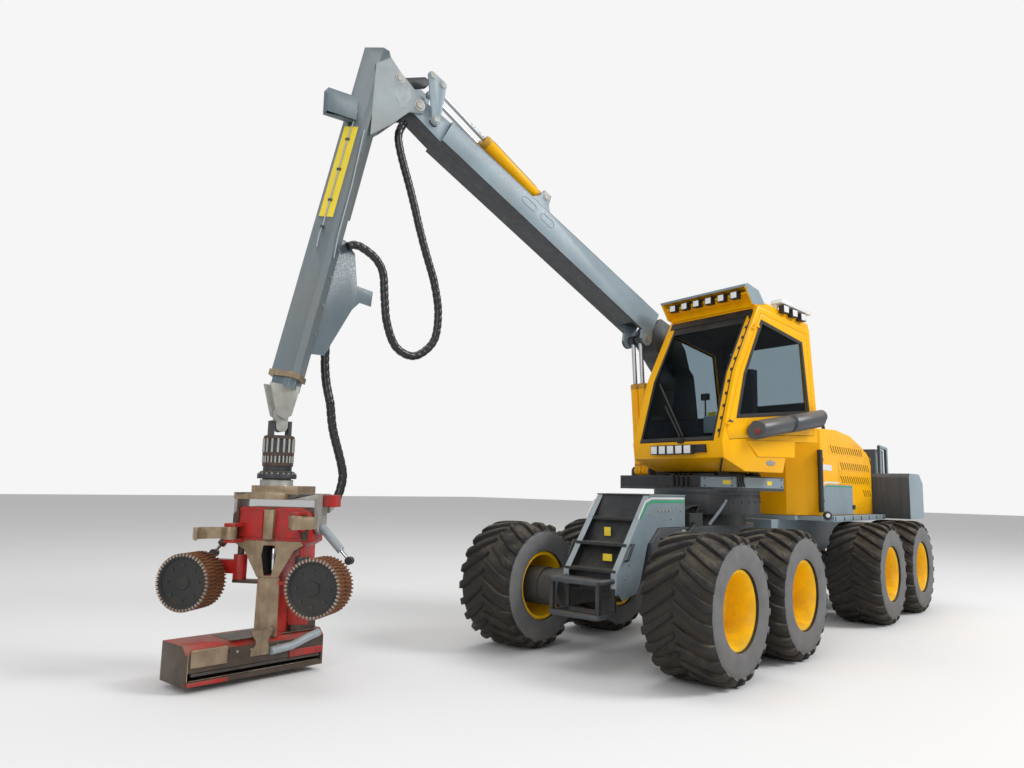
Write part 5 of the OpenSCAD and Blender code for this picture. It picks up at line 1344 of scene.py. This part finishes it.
for name, low, high in (("step_label_a", (0.048, -0.10, 1.235), (0.052, -0.02, 1.325)),
                        ("step_label_b", (0.2445, 0.02, 1.00), (0.2495, 0.13, 1.07)),
                        ("step_name_plate", (-0.105, -0.07, 1.47), (-0.100, 0.12, 1.54))):
    finish(rounded(block(name, low, high, STEP), 0.001, 1), "front",
           BLANK_PLATE if "label" in name else SLATE)
corner = []
for z in (0.515, 0.832):
    corner.append(pipe("guard", [(0.43, -0.28, z), (0.70, -0.28, z), (0.712, -0.268, z), (0.712, 0.268, z),
                                 (0.70, 0.28, z), (0.43, 0.28, z)],
                       0.026, 14, STEP))
finish(joined("platform_tubes", corner), "front", SLATE, SLATE)
for s in (-1, 1):
    handle = pipe("step_handle", [(0.30, s * 0.325, 1.02), (0.32, s * 0.365, 1.03), (0.22, s * 0.365, 1.18),
                                  (0.20, s * 0.325, 1.17)], 0.011, 10, STEP)
    finish(handle, "front", DARK)
print("step done")

# %% [markdown]
# Under the cab the slewing ring shows its ring of bolts, the platform its edge plates with blank stickers,
# and between them and the cab sit rubber mounts and hoses.

# %% Slewing ring and platform
bolts = disc("ring_bolts", (0.605, 0, 1.745), (0, 0, 1), 0.016, 0.018, 6)
finish(round_row(bolts, 40, "Z", UPPER), "upper", SLATE)
bolts = disc("ring_low_bolts", (0.642, 0, 1.60), (1, 0, 0), 0.012, 0.008, 6)
finish(round_row(bolts, 32, "Z", Matrix.Translation((SLEW_X, 0, 0))), "front", SLATE)
EDGES = [((0.480, -1.020), (0.480, 0.300)), ((0.480, 0.300), (0.300, 0.700)),
         ((0.300, 0.700), (-0.600, 0.700)), ((-0.600, 0.700), (-0.900, 0.300))]
LABELLED = (1, 2)
plates, labels, screws = [], [], []
for i, (a, b) in enumerate(EDGES):
    a, b = Vector(a), Vector(b)
    length = (b - a).length
    turn = Matrix.Rotation(math.atan2(b.y - a.y, b.x - a.x), 4, "Z")
    here = UPPER @ Matrix.Translation((a.x, a.y, 0)) @ turn
    plate = block("platform_edge", (0.012, -0.004, 1.765), (length - 0.012, 0.001, 1.885), here)
    plates.append(rounded(plate, 0.0015, 1))
    for x in (0.06, length - 0.06):
        for z in (1.785, 1.868):
            screws.append(disc("screw", (x, -0.004, z), (0, -1, 0), 0.010, 0.008, 6, here))
    if i in LABELLED:
        low, high = (length * 0.62, -0.0062, 1.80), (length * 0.62 + 0.09, -0.0038, 1.85)
        labels.append(rounded(block("label", low, high, here), 0.001, 1))
finish(plates[0], "upper", DARK)
finish(joined("platform_edges", plates[1:]), "upper", GREY)
finish(joined("platform_labels", labels), "upper", BLANK_PLATE)
finish(joined("platform_screws", screws), "upper", SLATE)
mounts = []
for x in (-0.200, 0.350):
    for y in (-0.300, 0.560):
        mounts.append(lathe("mount", [(0.058, 1.902), (0.076, 1.904), (0.082, 1.915), (0.078, 1.926),
                                      (0.070, 1.932), (0.060, 1.9475)],
                            (x, y, 0), "Z", 32, UPPER))
finish(smoothed(joined("cab_mounts", mounts), 40), "upper", RUBBER)
under = [rounded(block("under_cab", (-0.16, -0.36, 1.886), (0.31, 0.50, 1.944), UPPER), 0.006, 2),
         rounded(block("under_cab", (0.31, -0.28, 1.888), (0.40, 0.44, 1.930), UPPER), 0.006, 2)]
finish(joined("under_cab", under), "upper", DARK)
hoses = []
for i, y in enumerate((-0.12, -0.05, 0.02, 0.09)):
    hoses.append(pipe("hose", [(0.30, y, 1.90), (0.36, y, 1.925), (0.46, y + 0.02, 1.915),
                               (0.500, y + 0.03, 1.86), (0.505, y + 0.03, 1.775)],
                      0.015, 10, UPPER))
for dx, dy in ((0.0, 0.0), (0.045, 0.02), (0.09, -0.01)):
    hoses.append(pipe("hose", [(0.20 + dx, 0.70 + dy * 0.2, 1.90), (0.24 + dx, 0.735, 1.91),
                               (0.26 + dx, 0.745, 1.84), (0.22 + dx, 0.735, 1.775)],
                      0.012, 10, UPPER))
finish(joined("platform_hoses", hoses), "upper", RUBBER)
print("platform done")

# %% [markdown]
# Valves with hoses stand on the front frame before the slewing ring, with a round fitting, a strut and
# conduits along the frame's side. A small lamp looks forward from the rear deck's corner.

# %% Chassis fittings
valves = [rounded(block("valve", (-1.45, 0.20, 1.322), (-1.15, 0.34, 1.47)), 0.006, 2),
          rounded(block("valve", (-1.40, -0.34, 1.322), (-1.18, -0.12, 1.44)), 0.006, 2)]
finish(joined("frame_valves", valves), "front", DARK)
lines = []
for i in range(4):
    y = 0.21 + 0.035 * i
    lines.append(pipe("line", [(-1.40 + 0.02 * i, y, 1.465), (-1.38, y, 1.53 + 0.01 * i), (-1.25, y, 1.55),
                               (-1.08, y * 0.8, 1.49), (-0.80, y * 0.7, 1.35)],
                      0.013, 10))
finish(joined("frame_hoses", lines), "front", RUBBER)
fitting = lathe("round_fitting", [(0.0, 0.372), (0.030, 0.372), (0.034, 0.366), (0.052, 0.364),
                                  (0.066, 0.358), (0.066, 0.352), (0.050, 0.349)],
                (-0.98, 0, 1.23), "Y", 32)
finish(smoothed(fitting, 30), "front", PALE_STEEL)
stay = pipe("fitting_hose", [(-0.98, 0.362, 1.23), (-1.02, 0.395, 1.26), (-1.12, 0.40, 1.33),
                             (-1.22, 0.36, 1.36), (-1.26, 0.30, 1.345)], 0.016, 12)
finish(stay, "front", RUBBER)
for name, points, radius, surface in (
        ("grey_strut", [(-1.62, 0.33, 1.332), (-1.72, 0.42, 1.50), (-1.78, 0.47, 1.62)], 0.018, GREY),
        ("side_conduit", [(-0.50, 0.352, 1.22), (-1.30, 0.356, 1.22), (-2.60, 0.356, 1.20)], 0.012, RUBBER),
        ("side_conduit_low", [(-0.50, 0.352, 1.16), (-1.30, 0.356, 1.16), (-2.60, 0.356, 1.14)], 0.012,
         RUBBER)):
    finish(pipe(name, points, radius, 12), "front", surface)
DECK_LAMP = Matrix.Translation((-3.735, 0.93, 1.435)) @ Matrix.Rotation(math.radians(35), 4, "Z")
for name, profile, steps, surface in (
        ("deck_lamp", [(0.0, 0.060), (0.046, 0.056), (0.052, 0.048), (0.056, 0.020), (0.040, 0.0),
                       (0.0, -0.004)],
         32, LAMP_BODY),
        ("deck_lens", [(0.0, 0.062), (0.026, 0.060), (0.030, 0.054), (0.0, 0.050)], 24, LENS_WHITE)):
    finish(smoothed(lathe(name, profile, (0, 0, 0), "X", steps, DECK_LAMP), 30), "rear", surface)
rear_bolts = disc("deck_bolts", (0, 1.0005, 0), (0, 1, 0), 0.012, 0.008, 6)
bolts = repeated(rear_bolts, [Matrix.Translation((x / 100, 0, z)) for x in range(-595, -380, 35)
                              for z in (1.372, 1.400)])
finish(bolts, "rear", SLATE)
for s in (-1, 1):
    for x in (-4.625, -6.148):
        finish(disc("bogie_cap", (x, s * 0.47, 0.67), (0, s, 0), 0.09, 0.012, 32, None, 0.004), "rear",
               SLATE)
print("chassis done")

# %% [markdown]
# ## Floor and light
# A plain pale floor, a broad soft key light from the machine's left rear, where the sun stands in the
# photograph, a wide fill from the front and a white world behind it all.

# %% Floor and lamps
bpy.ops.object.select_all(action="DESELECT")
bpy.ops.mesh.primitive_plane_add(size=160, location=(0, 0, 0))
floor = bpy.context.active_object
floor.name = "studio_floor"
floor_paint = bpy.data.materials.new("pale floor")
floor_paint.use_nodes = True
floor_paint.node_tree.nodes["Principled BSDF"].inputs["Base Color"].default_value = (0.80, 0.80, 0.80, 1)
floor_paint.node_tree.nodes["Principled BSDF"].inputs["Roughness"].default_value = 0.9
floor.data.materials.append(floor_paint)

world = bpy.data.worlds.new("studio")
bpy.context.scene.world = world
world.use_nodes = True
nodes, links = world.node_tree.nodes, world.node_tree.links
back = nodes["Background"]
back.inputs["Color"].default_value = (1, 1, 1, 1)
rays = nodes.new("ShaderNodeLightPath")
seen = nodes.new("ShaderNodeMath")
seen.operation = "MAXIMUM"
links.new(rays.outputs["Is Camera Ray"], seen.inputs[0])
links.new(rays.outputs["Is Transmission Ray"], seen.inputs[1])
level_of = nodes.new("ShaderNodeMapRange")
level_of.inputs["To Min"].default_value = 0.55
level_of.inputs["To Max"].default_value = 0.92
links.new(seen.outputs[0], level_of.inputs["Value"])
links.new(level_of.outputs["Result"], back.inputs["Strength"])


def soft_lamp(name, place, aim, size, power):
    "A square area lamp at place that looks at aim."
    lamp = bpy.data.lights.new(name, "AREA")
    lamp.size = size
    lamp.energy = power
    piece = bpy.data.objects.new(name, lamp)
    bpy.context.scene.collection.objects.link(piece)
    piece.location = place
    piece.rotation_euler = (Vector(aim) - Vector(place)).to_track_quat("-Z", "Y").to_euler()


soft_lamp("key", (-9, 15, 15), (-1, 0, 1.5), 7, 2600)
soft_lamp("fill", (14, 5, 8), (0, 0, 2), 10, 700)
soft_lamp("top", (0, -3, 18), (0, 0, 0), 10, 700)
bpy.context.scene.view_settings.view_transform = "Standard"
